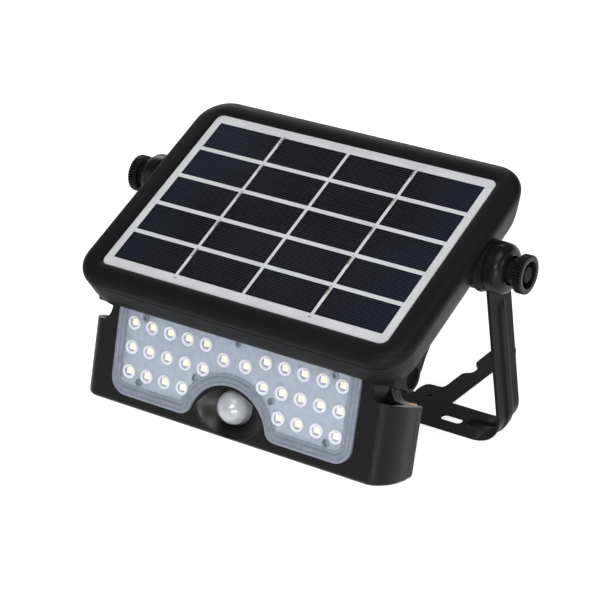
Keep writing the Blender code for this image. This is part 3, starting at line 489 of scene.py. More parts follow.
def strap_sections():
    sections = []
    for degrees in (86, 78, 70, 62, 54, 46, 38, 30, 22, 14, 7, 0):
        angle = math.radians(degrees)
        z = PIVOT_HEIGHT + STRAP_HALF * math.sin(angle)
        sections.append(strap_section(ARM_X, z, (1, 0), STRAP_HALF * math.cos(angle), 0.0))
    run_in = ((19, 0.0), (20, 0.05), (21, 0.22), (22, 0.5), (23, 0.8), (24.5, 0.97), (26, 1.0), (55, 1.0))
    for drop, rib in run_in:
        sections.append(strap_section(ARM_X, PIVOT_HEIGHT - drop, (1, 0), STRAP_HALF, rib))
    bend_x = ARM_X - BEND_RADIUS
    for degrees in range(0, 91, 3):
        angle = math.radians(degrees)
        normal = (math.cos(angle), -math.sin(angle))
        t = min(1.0, max(0.0, (87 - degrees) / 12))
        fade = t * t * (3 - 2 * t)
        dent = (0.85 + 0.15 * fade, 1.0)
        sections.append(strap_section(bend_x + BEND_RADIUS * normal[0], BEND_RADIUS + BEND_RADIUS * normal[1],
                                      normal, STRAP_HALF, fade, dent))
    run_out = ((1.5, 0.84, 0.98), (3, 0.8, 0.93), (4.5, 0.68, 0.85), (5.7, 0.5, 0.74), (6.7, 0.28, 0.6),
               (7.4, 0.1, 0.45), (7.8, 0.0, 0.3))
    for run, depth, spread in run_out:
        sections.append(strap_section(bend_x - run, 0.0, (0, -1), STRAP_HALF, 0.0, (depth, spread)))
    return sections


def rear_leg(side):
    notch = arc((53.6, 40.6), 4.4, -66, 62, 16)
    outline = [(37.7, 7), (37.75, 11)]
    outline += smooth([(37.75, 11), (38.3, 14.5), (39.6, 17.6), (41.6, 19.2), (44.4, 19.6)], 4)[1:]
    outline += smooth([(44.4, 19.6), (47.6, 19.7), (49.6, 20.6), (50.5, 22.6), (50.9, 25)], 4)[1:]
    outline += [(52.4, 33.2)] + smooth([(52.4, 33.2), (53.2, 35.2), notch[0]], 3)[1:-1] + notch
    outline += smooth([notch[-1], (54.7, 46.2), (54.9, 49)], 3)[1:]
    outline += [(57.2, 62.9)] + arc((63.2, 62.3), 6, 172, -12, 18)
    outline += [(62.6, 26.5), (59.9, 12)]
    outline += smooth([(59.9, 12), (59.9, 10.6), (60.8, 9.8), (62.5, 9.4)], 3)[1:]
    outline += [(62.5, 7)]
    return prism([(side * x, y) for x, y in outline], 0.0, STRAP_THICKNESS)


def slot(x, y, length, width, low, high):
    reach = 0.5 * (length - width)
    outline = arc((x + reach, y), 0.5 * width, -90, 90, 16) + arc((x - reach, y), 0.5 * width, 90, 270, 16)
    return prism(outline, low, high)


def build_bracket():
    right = strap_sections()
    left = [[(-x, y, z) for x, y, z in section] for section in reversed(right)]
    strap = shape(loft(right + left), WORLD)
    combine(strap, "UNION", *[shape(rear_leg(side), WORLD) for side in (1, -1)])
    holes = []
    for side in (1, -1):
        holes.append(slot(side * 67.3, -1.2, 12.6, 5.2, -2, 4))
        bore = [(90, BOLT_CLEARANCE), (112, BOLT_CLEARANCE)]
        holes.append(turned_x(bore, (0, PIVOT_HEIGHT), 32, False, side))
        for x, y in PILOT_HOLES:
            holes.append(slot(side * x, y, 3.4, 1.8, -2, 4))
    combine(strap, "DIFFERENCE", shape(merged(holes), WORLD))
    soften(strap, 0.28, 2, 50)
    piece(strap, "bracket_strap", "bracket", ["mounting_bracket"], PAINT, "painted_steel")
    for side, name in SIDES:
        key = [(101.9, 3.3), (101.9, 11.3), (100.05, 11.3), (100.05, 12.75), (100.3, 13.0), (103.8, 13.0),
               (105.0, 12.94), (106.0, 12.75), (106.9, 12.4), (107.7, 11.9), (108.4, 11.2), (108.9, 10.4),
               (109.25, 9.5), (109.45, 8.6), (109.5, 7.9), (109.2, 7.45), (105.2, 7.4), (104.9, 7.1),
               (104.9, 3.3)]
        cap = shape(turned_x(key, (0, PIVOT_HEIGHT), 96, True, side), WORLD)
        low, high = sorted((side * 99, side * 101.8))
        gap = box((low, -STRAP_HALF - 0.2, PIVOT_HEIGHT - 16), (high, STRAP_HALF + 0.2, PIVOT_HEIGHT))
        combine(cap, "DIFFERENCE", shape(gap, WORLD))
        piece(cap, f"cap_{name}", "bracket", [f"clamp_cap_{name}"], CAP_PLASTIC, "grey_plastic")


# ---------------------------------------------------------------- housing

PANEL_HALF_X, PANEL_HALF_Y, PANEL_CORNER = 84.6, 57.2, 4.0
CREST_HALF_X, CREST_FRONT, CREST_BACK, CREST_CORNER = 97.5, -69.4, 69.2, 18.0
CELL_HALF_X, CELL_HALF_Y = 80.0, 51.45
ROWS, COLUMNS, ROW_GAP, COLUMN_GAP = 5, 4, 2.55, 1.8
PIVOT_CENTRE, HINGE_CENTRE = (PIVOT_Y, PIVOT_Z), (HINGE_Y, HINGE_Z)
SHELL_SCREW_X, SHELL_SCREW_Y = 76, (-14, 48)
BUTTON_CENTRE = (0, -11)
CHANNEL_RADIUS, CHANNEL_HALF_X = 20.8, 78.2
FLOOR_Z, WALL = -26.0, 2.0


def housing_ring(spread, z):
    """A ring of the bezel: spread 0 is the laminate's edge, 1 the widest line of the frame."""
    half_x = PANEL_HALF_X + spread * (CREST_HALF_X - PANEL_HALF_X)
    low = -PANEL_HALF_Y + spread * (CREST_FRONT + PANEL_HALF_Y)
    high = PANEL_HALF_Y + spread * (CREST_BACK - PANEL_HALF_Y)
    radius = max(1.0, PANEL_CORNER + spread * (CREST_CORNER - PANEL_CORNER))
    return [(x, y, z) for x, y in rounded_rectangle(half_x, low, high, radius)]


def build_bezel():
    key = smooth([(0.02, -2.6), (0.022, 0.0), (0.03, 0.45), (0.06, 0.82)], 3)[:-1]
    key += smooth([(0.06, 0.82), (0.14, 1.08), (0.28, 1.22), (0.42, 1.18), (0.56, 0.98), (0.68, 0.62),
                   (0.79, 0.08), (0.88, -0.62), (0.945, -1.5), (0.985, -2.5), (1.0, -3.6), (0.998, -4.5),
                   (0.985, -4.95)], 3)
    key += [(0.96, -5.0), (0.51, -5.0), (0.5, -6.4), (0.43, -6.4), (0.42, -3.9), (-0.3, -3.9), (-0.3, -2.6)]
    rings = [housing_ring(spread, z) for spread, z in key]
    bezel = shape(loft(rings, True), HOUSING)
    piece(bezel, "bezel", "housing", ["front_bezel"], HOUSING_PLASTIC, "grey_plastic", 50)


def cell_places():
    width = (2 * CELL_HALF_X - (COLUMNS - 1) * COLUMN_GAP) / COLUMNS
    height = (2 * CELL_HALF_Y - (ROWS - 1) * ROW_GAP) / ROWS
    places = []
    for column in range(COLUMNS):
        for row in range(ROWS):
            x = -CELL_HALF_X + column * (width + COLUMN_GAP)
            y = -CELL_HALF_Y + row * (height + ROW_GAP)
            places.append((x, y, x + width, y + height))
    return places


def build_panel():
    levels = ((0.0, -2.3), (0.0, -0.25), (-0.012, -0.06), (-0.03, 0.0))
    sheet = shape(loft([housing_ring(spread, z) for spread, z in levels]), HOUSING)
    piece(sheet, "solar_sheet", "housing", ["solar_laminate"], LAMINATE_WHITE, "solar_laminate", 50)
    cells = [box((x0, y0, -0.2), (x1, y1, 0.03)) for x0, y0, x1, y1 in cell_places()]
    piece(shape(merged(cells), HOUSING), "solar_cells", "housing", [], LAMINATE_CELLS,
          "solar_laminate", 50, False)
    strips = []
    dots = []
    height = (2 * CELL_HALF_Y - (ROWS - 1) * ROW_GAP) / ROWS
    for x in (-40.0, 40.0):
        for row in range(ROWS):
            top = -CELL_HALF_Y + row * (height + ROW_GAP) + height
            strips.append(box((x - 0.5, top - 5.2, -0.1), (x + 0.5, top - 0.2, 0.045)))
            for drop in (-0.6, 1.6, 4.9):
                key = [(0.1, -0.1), (0.42, -0.1), (0.4, 0.07), (0.1, 0.09)]
                dots.append(turned_z(key, (x, top - drop), 12))
        strips.append(box((x - 0.9, -CELL_HALF_Y - 2.6, -0.1), (x + 0.9, -CELL_HALF_Y - 1.6, 0.05)))
    piece(shape(merged(dots), HOUSING), "solder_dots", "housing", [], SOLDER, "solar_laminate", 50, False)
    piece(shape(merged(strips), HOUSING), "cell_ribbons", "housing", [], RIBBON, "solar_laminate", 50, False)


def shell_levels():
    """Rows of z, half width, front, back and corner radius."""
    key = [(-5.3, 97.3, -69.3, 69.0, 18.0), (-9, 96.3, -69.0, 68.2, 17.8), (-14, 94.8, -68.4, 66.6, 17.0),
           (-18, 93.5, -67.4, 65.2, 16.6), (-21, 92.2, -66.0, 63.8, 16.0), (-23.2, 90.9, -64.3, 62.4, 15.5),
           (-24.6, 89.4, -62.2, 60.9, 14.8), (-25.5, 87.6, -60.2, 59.0, 13.6),
           (-25.9, 86.0, -58.4, 57.2, 12.6), (-26.0, 84.6, -57.0, 56.0, 12.0)]
    return smooth(key, 3)


def cheek(side):
    """The side of the hinge: the shell's wall runs down and rounds off under the pin."""
    outline = [(-24.5, -19.0)]
    outline += smooth([(-26.5, -25.6), (-30.5, -27.2), (-36.0, -29.6), (-41.5, -33.2)], 5)
    outline += arc(HINGE_CENTRE, 7.4, -28, -158, 22)
    outline += smooth([(-58.2, -29.6), (-61.4, -26.0), (-64.3, -21.5)], 4)
    outline += [(-62.0, -17.5)]
    low, high = sorted((side * CHANNEL_HALF_X, side * 88.8))
    return prism(outline, low, high, "x")


def build_rear_shell():
    rings = []
    for z, half_x, low, high, radius in shell_levels():
        rings.append([(x, y, z) for x, y in rounded_rectangle(half_x, low, high, radius)])
    shell = shape(loft(rings), HOUSING)
    cheeks = []
    hubs = []
    for side, _ in SIDES:
        obj = shape(cheek(side), HOUSING)
        soften(obj, 1.6, 4, 40)
        bake(obj)
        cheeks.append(obj)
        key = [(84, 13.0), (93.9, 13.0), (94.2, 13.2), (94.4, 13.6), (94.7, 13.8), (95.6, 13.8), (95.9, 13.6),
               (96.1, 13.2), (96.4, 13.0), (98.3, 13.0), (98.6, 12.7)]
        hubs.append(shape(turned_x(key, PIVOT_CENTRE, 64, False, side), HOUSING))
    combine(shell, "UNION", *cheeks, *hubs)
    inner = []
    for z, half_x, high, radius in ((-24, 85.5, 57.5, 10), (-14, 91.5, 63.5, 13), (-3, 91.7, 63.7, 13)):
        inner.append([(x, y, z) for x, y in rounded_rectangle(half_x, -25, high, radius)])
    combine(shell, "DIFFERENCE", shape(loft(inner), HOUSING))
    roof = arc(HINGE_CENTRE, CHANNEL_RADIUS + WALL, 140.0, 15.3, 30)
    front = [(-67, -3)] + roof + [(-20, FLOOR_Z + WALL), (-20, -3)]
    combine(shell, "DIFFERENCE", shape(prism(front, -76, 76, "x"), HOUSING))
    channel = [(-CHANNEL_HALF_X, CHANNEL_RADIUS), (CHANNEL_HALF_X, CHANNEL_RADIUS)]
    cuts = [shape(turned_x(channel, HINGE_CENTRE, 96, False), HOUSING)]
    cuts.append(shape(box((-CHANNEL_HALF_X, -75, -40), (CHANNEL_HALF_X, -60, -17.6)), HOUSING))
    bores = []
    for side, _ in SIDES:
        low, high = sorted((side * 80, side * 97.9))
        cuts.append(shape(box((low, 0, -5.3), (high, 40, 0)), HOUSING))
        bores.append(turned_x([(87.4, 4.7), (101, 4.7)], PIVOT_CENTRE, 40, False, side))
        key = [(70, 3.3), (84.5, 3.3), (84.5, 5.3), (92, 5.3)]
        bores.append(turned_x(key, HINGE_CENTRE, 40, False, side))
        for y in SHELL_SCREW_Y:
            key = [(3.4, -27), (3.4, -23), (1.8, -23), (1.8, -5.5)]
            bores.append(turned_z(key, (side * SHELL_SCREW_X, y), 28, False))
    bores.append(turned_z([(6.5, -27), (6.5, -23)], BUTTON_CENTRE, 40, False))
    cuts.append(shape(merged(bores), HOUSING))
    combine(shell, "DIFFERENCE", *cuts)
    soften(shell, 0.3, 2, 38)
    piece(shell, "rear_shell", "housing", ["rear_housing"], HOUSING_PLASTIC, "grey_plastic")


def cross_recess(centre, top, size, depth):
    """A cross-shaped pocket, cut down from the level `top` towards +Z."""
    half = size / 2
    arm = size * 0.17
    outline = [(half, arm), (arm, arm), (arm, half), (-arm, half), (-arm, arm), (-half, arm)]
    outline += [(-half, -arm), (-arm, -arm), (-arm, -half), (arm, -half), (arm, -arm), (half, -arm)]
    rings = []
    for level, scale in ((top - 0.5, 1.05), (top, 1.0), (top + depth, 0.55)):
        rings.append([(centre[0] + scale * x, centre[1] + scale * y, level) for x, y in outline])
    return loft(rings)


def build_housing_fittings():
    teeth = 44
    for side, name in SIDES:
        key = [(98.9, 4.7), (98.9, 12.9), (99.25, 12.9), (99.4, 12.9), (99.7, 12.9), (99.7, 11.4),
               (99.45, 11.2), (99.45, 4.7)]

        def reach(index, i):
            return -0.55 if index in (3, 4) and i % 4 in (0, 1) else 0.0

        ring = shape(turned_x(key, PIVOT_CENTRE, teeth * 4, True, side, reach), HOUSING)
        piece(ring, f"tooth_ring_{name}", "housing", [f"detent_ring_{name}"], CAP_PLASTIC,
              "grey_plastic", 30)
        # The pin caps use the near-black rubber: partly their own black, partly painted shade for the hinge
        # end
        key = [(87.3, 4.9), (88.1, 5.0), (88.4, 4.85), (88.55, 4.5), (88.6, 4.0), (88.6, 3.0), (88.35, 2.6),
               (88.3, 0.3)]
        cap = shape(turned_x(key, HINGE_CENTRE, 48, False, side), HOUSING)
        piece(cap, f"pin_cap_{name}", "housing", [f"hinge_cap_{name}"], SHADE_DARKENED_RUBBER, "black_rubber", 50)
    places = [(side * SHELL_SCREW_X, y) for side in (1, -1) for y in SHELL_SCREW_Y]
    for index, place in enumerate(places):
        key = [(0.4, -25.75), (1.4, -25.7), (2.3, -25.45), (2.85, -24.9), (3.0, -24.3), (3.0, -23.3),
               (1.5, -23.3), (1.5, -3.6), (0.4, -3.6)]
        screw = shape(turned_z(key, place, 32, False), HOUSING)
        combine(screw, "DIFFERENCE", shape(cross_recess(place, -25.8, 3.2, 1.3), HOUSING))
        piece(screw, f"shell_screw_{index + 1}", "housing", [f"housing_screw_{index + 1}"], STEEL,
              "bright_steel", 30)
    key = [(0.3, -26.75), (2.6, -26.85), (3.0, -27.05), (3.4, -27.2), (5.2, -27.2), (5.9, -26.95),
           (6.2, -26.5), (6.2, -23.7), (7.6, -23.7), (7.6, -22.9), (2.4, -22.4), (2.4, -21.8), (0.3, -21.8)]
    button = shape(turned_z(key, BUTTON_CENTRE, 48, False), HOUSING)
    piece(button, "button_cap", "mode_button", ["mode_button"], SHADE_DARKENED_RUBBER, "black_rubber", 40)


# ---------------------------------------------------------------- head

HEAD_HALF_X, CORE_HALF_X = 92.0, 77.2
HEAD_TOP, HEAD_BOTTOM, HEAD_FACE = 10.2, -44.3, 1.0
HEAD_SEAM, HEAD_BACK, HEAD_CORNER, HEAD_CORNER_DEPTH = -22.0, -28.5, 9.5, 17.0
LENS_HALF_X, LENS_TOP, LENS_TOP_TAPER, LENS_BOTTOM, LENS_CORNER = 72.8, 8.8, 0.35, -38.9, 10.0
ARCH_CENTRE, ARCH_RADIUS, ARCH_FILLET = -41.0, 23.5, 7.0
SENSOR_Y, DOME_RADIUS, DOME_CENTRE = -28.5, 8.8, -4.2
LED_PITCH_X, LED_PITCH_Y, LED_INNER_X = 11.13, 12.75, 18.0
INSERT_X, INSERT_Z = 87.5, -25.3
POST_X, POST_Y = 79, (-37.5, -13)
HINGE_IN_HEAD = (Matrix.Rotation(-HEAD_TILT, 3, "X")
                 @ Vector((0, HINGE_Y - HEAD_ORIGIN_Y, HINGE_Z - HEAD_ORIGIN_Z)))


def head_rings():
    rings = []
    key = ((HEAD_BOTTOM, 2.0), (HEAD_BOTTOM + 0.15, 1.25), (HEAD_BOTTOM + 0.6, 0.6), (HEAD_BOTTOM + 1.2, 0.2),
           (HEAD_BOTTOM + 2.1, 0.0), (HEAD_TOP, 0.0))
    for height, inset in key:
        right = HEAD_HALF_X - inset
        face = HEAD_FACE - inset
        half = [(right, HEAD_SEAM)]
        for x, z in arc((0, 0), 1.0, 0, 90, 24):
            half.append((right + HEAD_CORNER * (x - 1), face + HEAD_CORNER_DEPTH * (z - 1)))
        rings.append([(x, height, z) for x, z in half + [(-x, z) for x, z in reversed(half)]])
    return rings


def shoulder_cutters():
    """Clear the space above each shoulder, then scoop a trough in its top."""
    clear = []
    for z, top in ((5, -2.0), (-32, -8.2)):
        quarter = arc((0, 0), 1.0, 180, 270, 12)
        fillet = [(CORE_HALF_X + 5.5 * (1 + x), top + 9.5 * (1 + y)) for x, y in quarter]
        clear.append([(x, y, z) for x, y in [(CORE_HALF_X, 14)] + fillet + [(96, top), (96, 14)]])
    scoop = smooth([(4, -2.2), (-3.4, -3.4), (-6.6, -6.2), (-8.0, -11), (-7.6, -15.6), (-5.6, -18.8),
                    (4, -19.6)], 5)
    pieces = []
    for side, _ in SIDES:
        pieces.append(shape(loft([[(side * x, y, z) for x, y, z in ring] for ring in clear]), HEAD))
        low, high = sorted((side * CORE_HALF_X, side * 87.6))
        pieces.append(shape(prism(scoop, low, high, "x"), HEAD))
    return pieces


def lens_outline(inset):
    right = LENS_HALF_X - inset
    top = LENS_TOP - LENS_TOP_TAPER * inset
    low = LENS_BOTTOM + inset
    upper = max(0.8, 4 - inset)
    corner = max(0.8, LENS_CORNER - inset)
    fillet = max(0.8, ARCH_FILLET - inset)
    radius = ARCH_RADIUS + inset
    fillet_y = low + fillet
    fillet_x = math.sqrt((radius + fillet) ** 2 - (fillet_y - ARCH_CENTRE) ** 2)
    lean = math.degrees(math.atan2(fillet_y - ARCH_CENTRE, fillet_x))
    half = arc((0, ARCH_CENTRE), radius, 90, lean, 18)
    half += arc((fillet_x, fillet_y), fillet, 180 + lean, 270, 12)
    half += arc((right - corner, low + corner), corner, -90, 0, 14)
    half += arc((right - upper, top - upper), upper, 0, 90, 6)
    return half + [(-x, y) for x, y in reversed(half[1:])]


def lens_rings(levels):
    return [[(x, y, z) for x, y in lens_outline(inset)] for inset, z in levels]


def led_places():
    places = []
    for row, (first, count) in enumerate(((0, 5), (0, 5), (1, 4))):
        for column in range(count):
            x = LED_INNER_X + (first + column) * LED_PITCH_X
            places += [(x, -row * LED_PITCH_Y), (-x, -row * LED_PITCH_Y)]
    return places + [(6.6, -5.0), (-6.6, -5.0)]


BOARD_SCREWS = [(0, 4.5), (56.8, 3.6), (-56.8, 3.6), (23.1, -18.8), (-23.1, -18.8), (56.7, -30.3),
                (-56.7, -30.3)]


def sensor_dish():
    """A bowl round the sensor: wide and oval at the face, round where it meets the dome."""
    key = ((-0.1, 3.0), (-0.09, 1.02), (0.0, 0.84), (0.1, 0.4), (0.24, -0.5), (0.42, -2.0), (0.62, -3.8),
           (0.8, -5.25), (0.93, -6.1), (1.0, -6.35))
    rings = []
    for inward, z in smooth(key, 3):
        rings.append([((20.4 - 11.1 * inward) * x, SENSOR_Y + (15.2 - 5.9 * inward) * y, z)
                      for x, y in circle((0, 0), 1.0, 96)])
    rings.append([(x, y, -9) for x, y in circle((0, SENSOR_Y), 9.3, 96)])
    return loft(rings)


def build_head_shells():
    hinge = (HINGE_IN_HEAD.y, HINGE_IN_HEAD.z)
    shell = shape(loft(head_rings()), HEAD)
    inner = [(86, HEAD_BOTTOM + 2.2), (86, -12), (75, -12), (75, HEAD_TOP - 2.2)]
    cavity = prism(inner + [(-x, y) for x, y in reversed(inner)], -40, HEAD_FACE - 4.2)
    combine(shell, "DIFFERENCE", shape(cavity, HEAD), *shoulder_cutters())
    boss = prism([(17 * x, SENSOR_Y + 13.7 * y) for x, y in circle((0, 0), 1.0, 72)], -8, -1)
    posts = [turned_z([(3.6, -26), (3.6, -2)], (side * POST_X, y), 24, False)
             for side in (1, -1) for y in POST_Y]
    combine(shell, "UNION", shape(boss, HEAD), shape(merged(posts), HEAD))
    dish = shape(sensor_dish(), HEAD)
    under_arch = prism(circle((0, ARCH_CENTRE), ARCH_RADIUS - 1.3, 96), -12, 4)
    combine(dish, "INTERSECT", shape(under_arch, HEAD))
    window = shape(loft(lens_rings(((4, -6), (4, 3)))), HEAD)
    rebate = shape(loft(lens_rings(((-0.25, -0.9), (-0.25, 3)))), HEAD)
    bores = []
    for side, _ in SIDES:
        bores.append(turned_x([(70, 3.3), (80, 3.3)], hinge, 32, False, side))
        for y in POST_Y:
            bores.append(turned_z([(1.7, -28.5), (1.7, -9)], (side * POST_X, y), 20, False))
    combine(shell, "DIFFERENCE", dish, window, rebate, shape(merged(bores), HEAD))
    soften(shell, 0.45, 3, 40)
    shell.data.materials.append(HEAD_PLASTIC)
    shell.data.materials.append(GLOSS_PLASTIC)
    for face in shell.data.polygons:
        x, y, z = face.center / MM
        under_lens = math.hypot(x, y - ARCH_CENTRE) < ARCH_RADIUS - 1.2
        in_dish = math.hypot(x / 21.6, (y - SENSOR_Y) / 15.9) < 1
        if under_lens and in_dish and -9.5 < z < 0.95:
            face.material_index = 1
    piece(shell, "head_face", "head", ["head_front_shell"], HEAD_PLASTIC, "grained_plastic")
    build_rear_cover()


def build_rear_cover():
    side_top = HEAD_TOP - 12
    rings = []
    key = smooth([(0.0, HEAD_SEAM - 0.3), (0.0, -26.2), (0.25, -27.2), (0.9, -28.1), (1.9, HEAD_BACK)], 3)
    for inset, z in key:
        low = HEAD_BOTTOM + inset
        right = HEAD_HALF_X - inset
        bottom = arc((right - 3, low + 3), 3, -90, 0, 8)
        half = bottom + [(right, side_top - inset), (CORE_HALF_X - inset, side_top - inset),
                         (CORE_HALF_X - inset, HEAD_TOP - inset)]
        rings.append([(x, y, z) for x, y in half + [(-x, y) for x, y in reversed(half)]])
    cover = shape(loft(rings), HEAD)
    inner = [(83, HEAD_BOTTOM + 2.2), (83, -12), (75, -12), (75, HEAD_TOP - 2.2)]
    outline = inner + [(-x, y) for x, y in reversed(inner)]
    hollow = shape(prism(outline, HEAD_SEAM - 4.3, HEAD_SEAM + 2), HEAD)
    holes = []
    for side, _ in SIDES:
        holes.append(prism(circle((side * INSERT_X, INSERT_Z), 2.15, 32), -9.9, 0, "y"))
        for y in POST_Y:
            key = [(3, -30), (3, -27.4), (1.7, -27.4), (1.7, -25)]
            holes.append(turned_z(key, (side * POST_X, y), 28, False))
    for row in range(6):
        holes.append(slot(0, -36.0 + row * 6.4, 118, 2.6, -30, -27.7))
    combine(cover, "DIFFERENCE", hollow, shape(merged(holes), HEAD), *shoulder_cutters())
    soften(cover, 0.35, 2, 40)
    piece(cover, "head_back", "head", ["head_rear_cover"], HEAD_PLASTIC, "grained_plastic")


def build_lens():
    key = ((0.0, -0.6), (0.0, 1.45), (0.15, 1.8), (0.45, 2.05), (1.5, 2.15), (1.8, 2.05), (2.05, 1.7),
           (2.35, 1.65), (2.65, 1.8), (2.85, 1.95), (4.0, 1.95), (4.3, 1.8), (4.55, 1.3), (4.9, 1.25),
           (5.2, 1.4), (5.5, 1.55), (6.1, 1.55), (6.4, 1.3), (6.6, 1.2))
    plate = shape(loft(lens_rings([(inset + 0.3, z) for inset, z in key])), HEAD)
    bumps = []
    for x, y in led_places():
        cap = [(2.85 * math.cos(math.radians(a)), 1.25 + 1.15 * math.sin(math.radians(a)))
               for a in range(12, 90, 11)]
        bumps.append(turned_z([(2.85, 0.7)] + cap + [(0.08, 2.4)], (x, y), 32, False))
    combine(plate, "UNION", shape(merged(bumps), HEAD))
    plate.data.materials.append(LENS_CLEAR)
    plate.data.materials.append(LENS_RIM)
    inner = lens_outline(6.7)
    for face in plate.data.polygons:
        if not inside(face.center.x / MM, face.center.y / MM, inner):
            face.material_index = 1
    piece(plate, "lens", "head", ["lens_plate"], LENS_CLEAR, "clear_lens", 40)
    plate.visible_shadow = False
    # Painted highlight: an opaque grey-white ridge at each dome's foot copies the dome's bright edge
    dome_highlights = []
    for x, y in led_places():
        key = [(2.3, 1.18), (2.45, 1.45), (2.75, 1.72), (3.15, 1.84), (3.55, 1.7), (3.8, 1.18)]
        dome_highlights.append(turned_z(key, (x, y), 32))
    highlight_rings = piece(shape(merged(dome_highlights), HEAD), "led_dome_highlights", "head", [], DOME_EDGE_HIGHLIGHT, "clear_lens", 60, False)
    highlight_rings.visible_shadow = False
    bed = lens_rings(((0.5, -0.75), (4.6, -0.75), (4.6, -0.65), (0.5, -0.65)))
    piece(shape(loft(bed, True), HEAD), "lens_bed", "head", ["lens_seal"], GASKET, "black_rubber", 40, False)


def inside(x, y, outline):
    """True if the point lies inside the closed outline."""
    found = False
    for (x0, y0), (x1, y1) in zip(outline, outline[1:] + outline[:1]):
        if (y0 > y) != (y1 > y) and x < x0 + (y - y0) * (x1 - x0) / (y1 - y0):
            found = not found
    return found


def build_board():
    board = shape(loft(lens_rings(((4.4, -2.5), (4.4, -0.9)))), HEAD)
    holes = [turned_z([(1.2, -4), (1.2, 1)], place, 20, False) for place in BOARD_SCREWS]
    combine(board, "DIFFERENCE", shape(merged(holes), HEAD))
    piece(board, "led_panel", "head", ["led_board"], BOARD_WHITE, "white_board", 40, False)
    cases = []
    dies = []
    for x, y in led_places():
        outline = [(x - 1.75, y - 1.4), (x + 1.75, y - 1.4), (x + 1.75, y + 1.4), (x - 1.75, y + 1.4)]
        cases.append(prism(outline, -1.0, -0.25))
        cases.append(prism(circle((x, y), 2.4, 24), -0.95, -0.84))
        dies.append(prism(circle((x, y), 1.3, 24), -0.3, -0.15))
    piece(shape(merged(cases), HEAD), "led_cases", "head", [], LED_WHITE, "white_board", 40, False)
    piece(shape(merged(dies), HEAD), "led_dies", "head", [], PHOSPHOR, "white_board", 40, False)
    eyes = [turned_z([(0.35, -0.95), (0.35, -0.86), (0.75, -0.82), (0.85, -0.95)], (side * x, y), 20)
            for side in (1, -1) for x, y in ((56.9, -6.4), (45.7, -6.1), (45.8, -19.3))]
    piece(shape(merged(eyes), HEAD), "board_eyelets", "head", [], SOLDER, "white_board", 40, False)
    for index, place in enumerate(BOARD_SCREWS):
        key = [(0.9, -4.9), (0.9, -0.6), (1.95, -0.6), (1.95, -0.35), (1.75, -0.12), (1.2, 0.0), (0.2, 0.02)]
        screw = shape(turned_z(key, place, 28, False), HEAD)
        cross = cross_recess(place, 0.0, 2.1, 0.7)
        bmesh.ops.scale(cross, vec=(1, 1, -1), verts=cross.verts)
        combine(screw, "DIFFERENCE", shape(cross, HEAD))
        piece(screw, f"panel_screw_{index + 1}", "head", [f"board_screw_{index + 1}"], DULL_STEEL,
              "bright_steel", 30)


def build_sensor():
    """A milky dome pressed into rows of small lenses, seen as soft facets."""
    rings = []
    columns = 56
    for step in range(22):
        tilt = math.radians(2 + 86 * step / 21)
        ring = []
        for i in range(columns):
            turn = 2 * math.pi * i / columns
            facet = 0.05 * math.cos(7 * turn) * math.sin(tilt) ** 2 - 0.05 * math.cos(12 * tilt)
            r = DOME_RADIUS - 0.06 + facet
            ring.append((r * math.sin(tilt) * math.cos(turn), SENSOR_Y + r * math.sin(tilt) * math.sin(turn),
                         DOME_CENTRE + r * math.cos(tilt)))
        rings.append(ring)
    foot = ((8.75, -8.3), (10.4, -8.3), (10.4, -9.6), (8.75, -9.6), (8.75, -11.6), (7.6, -11.6), (7.6, -4.2),
            (4, 1.9))
    for radius, z in foot:
        rings.append([(x, y, z) for x, y in circle((0, SENSOR_Y), radius, columns)])
    dome = shape(loft(rings), HEAD)
    piece(dome, "sensor_cover", "head", ["sensor_dome"], MILKY, "milky_dome", 60, False)


def build_head_fittings():
    places = [(side * POST_X, y) for side in (1, -1) for y in POST_Y]
    for index, place in enumerate(places):
        key = [(0.3, -28.75), (1.3, -28.7), (2.1, -28.5), (2.55, -28.1), (2.6, -27.7), (1.4, -27.7),
               (1.4, -10), (0.3, -10)]
        screw = shape(turned_z(key, place, 28, False), HEAD)
        combine(screw, "DIFFERENCE", shape(cross_recess(place, -28.8, 2.8, 1.1), HEAD))
        piece(screw, f"back_screw_{index + 1}", "head", [f"cover_screw_{index + 1}"], STEEL,
              "bright_steel", 30)
    for side, name in SIDES:
        rings = []
        for radius, y in ((1.1, -9.6), (1.9, -9.6), (2.0, -7.1), (1.9, -6.8), (1.35, -6.8), (1.2, -7.05)):
            rings.append([(x, y, z) for x, z in circle((side * INSERT_X, INSERT_Z), radius, 32)])
        insert = shape(loft(rings, True), HEAD)
        piece(insert, f"brass_insert_{name}", "head", [f"shoulder_insert_{name}"], BRASS, "brass", 40)


# ---------------------------------------------------------------- knobs

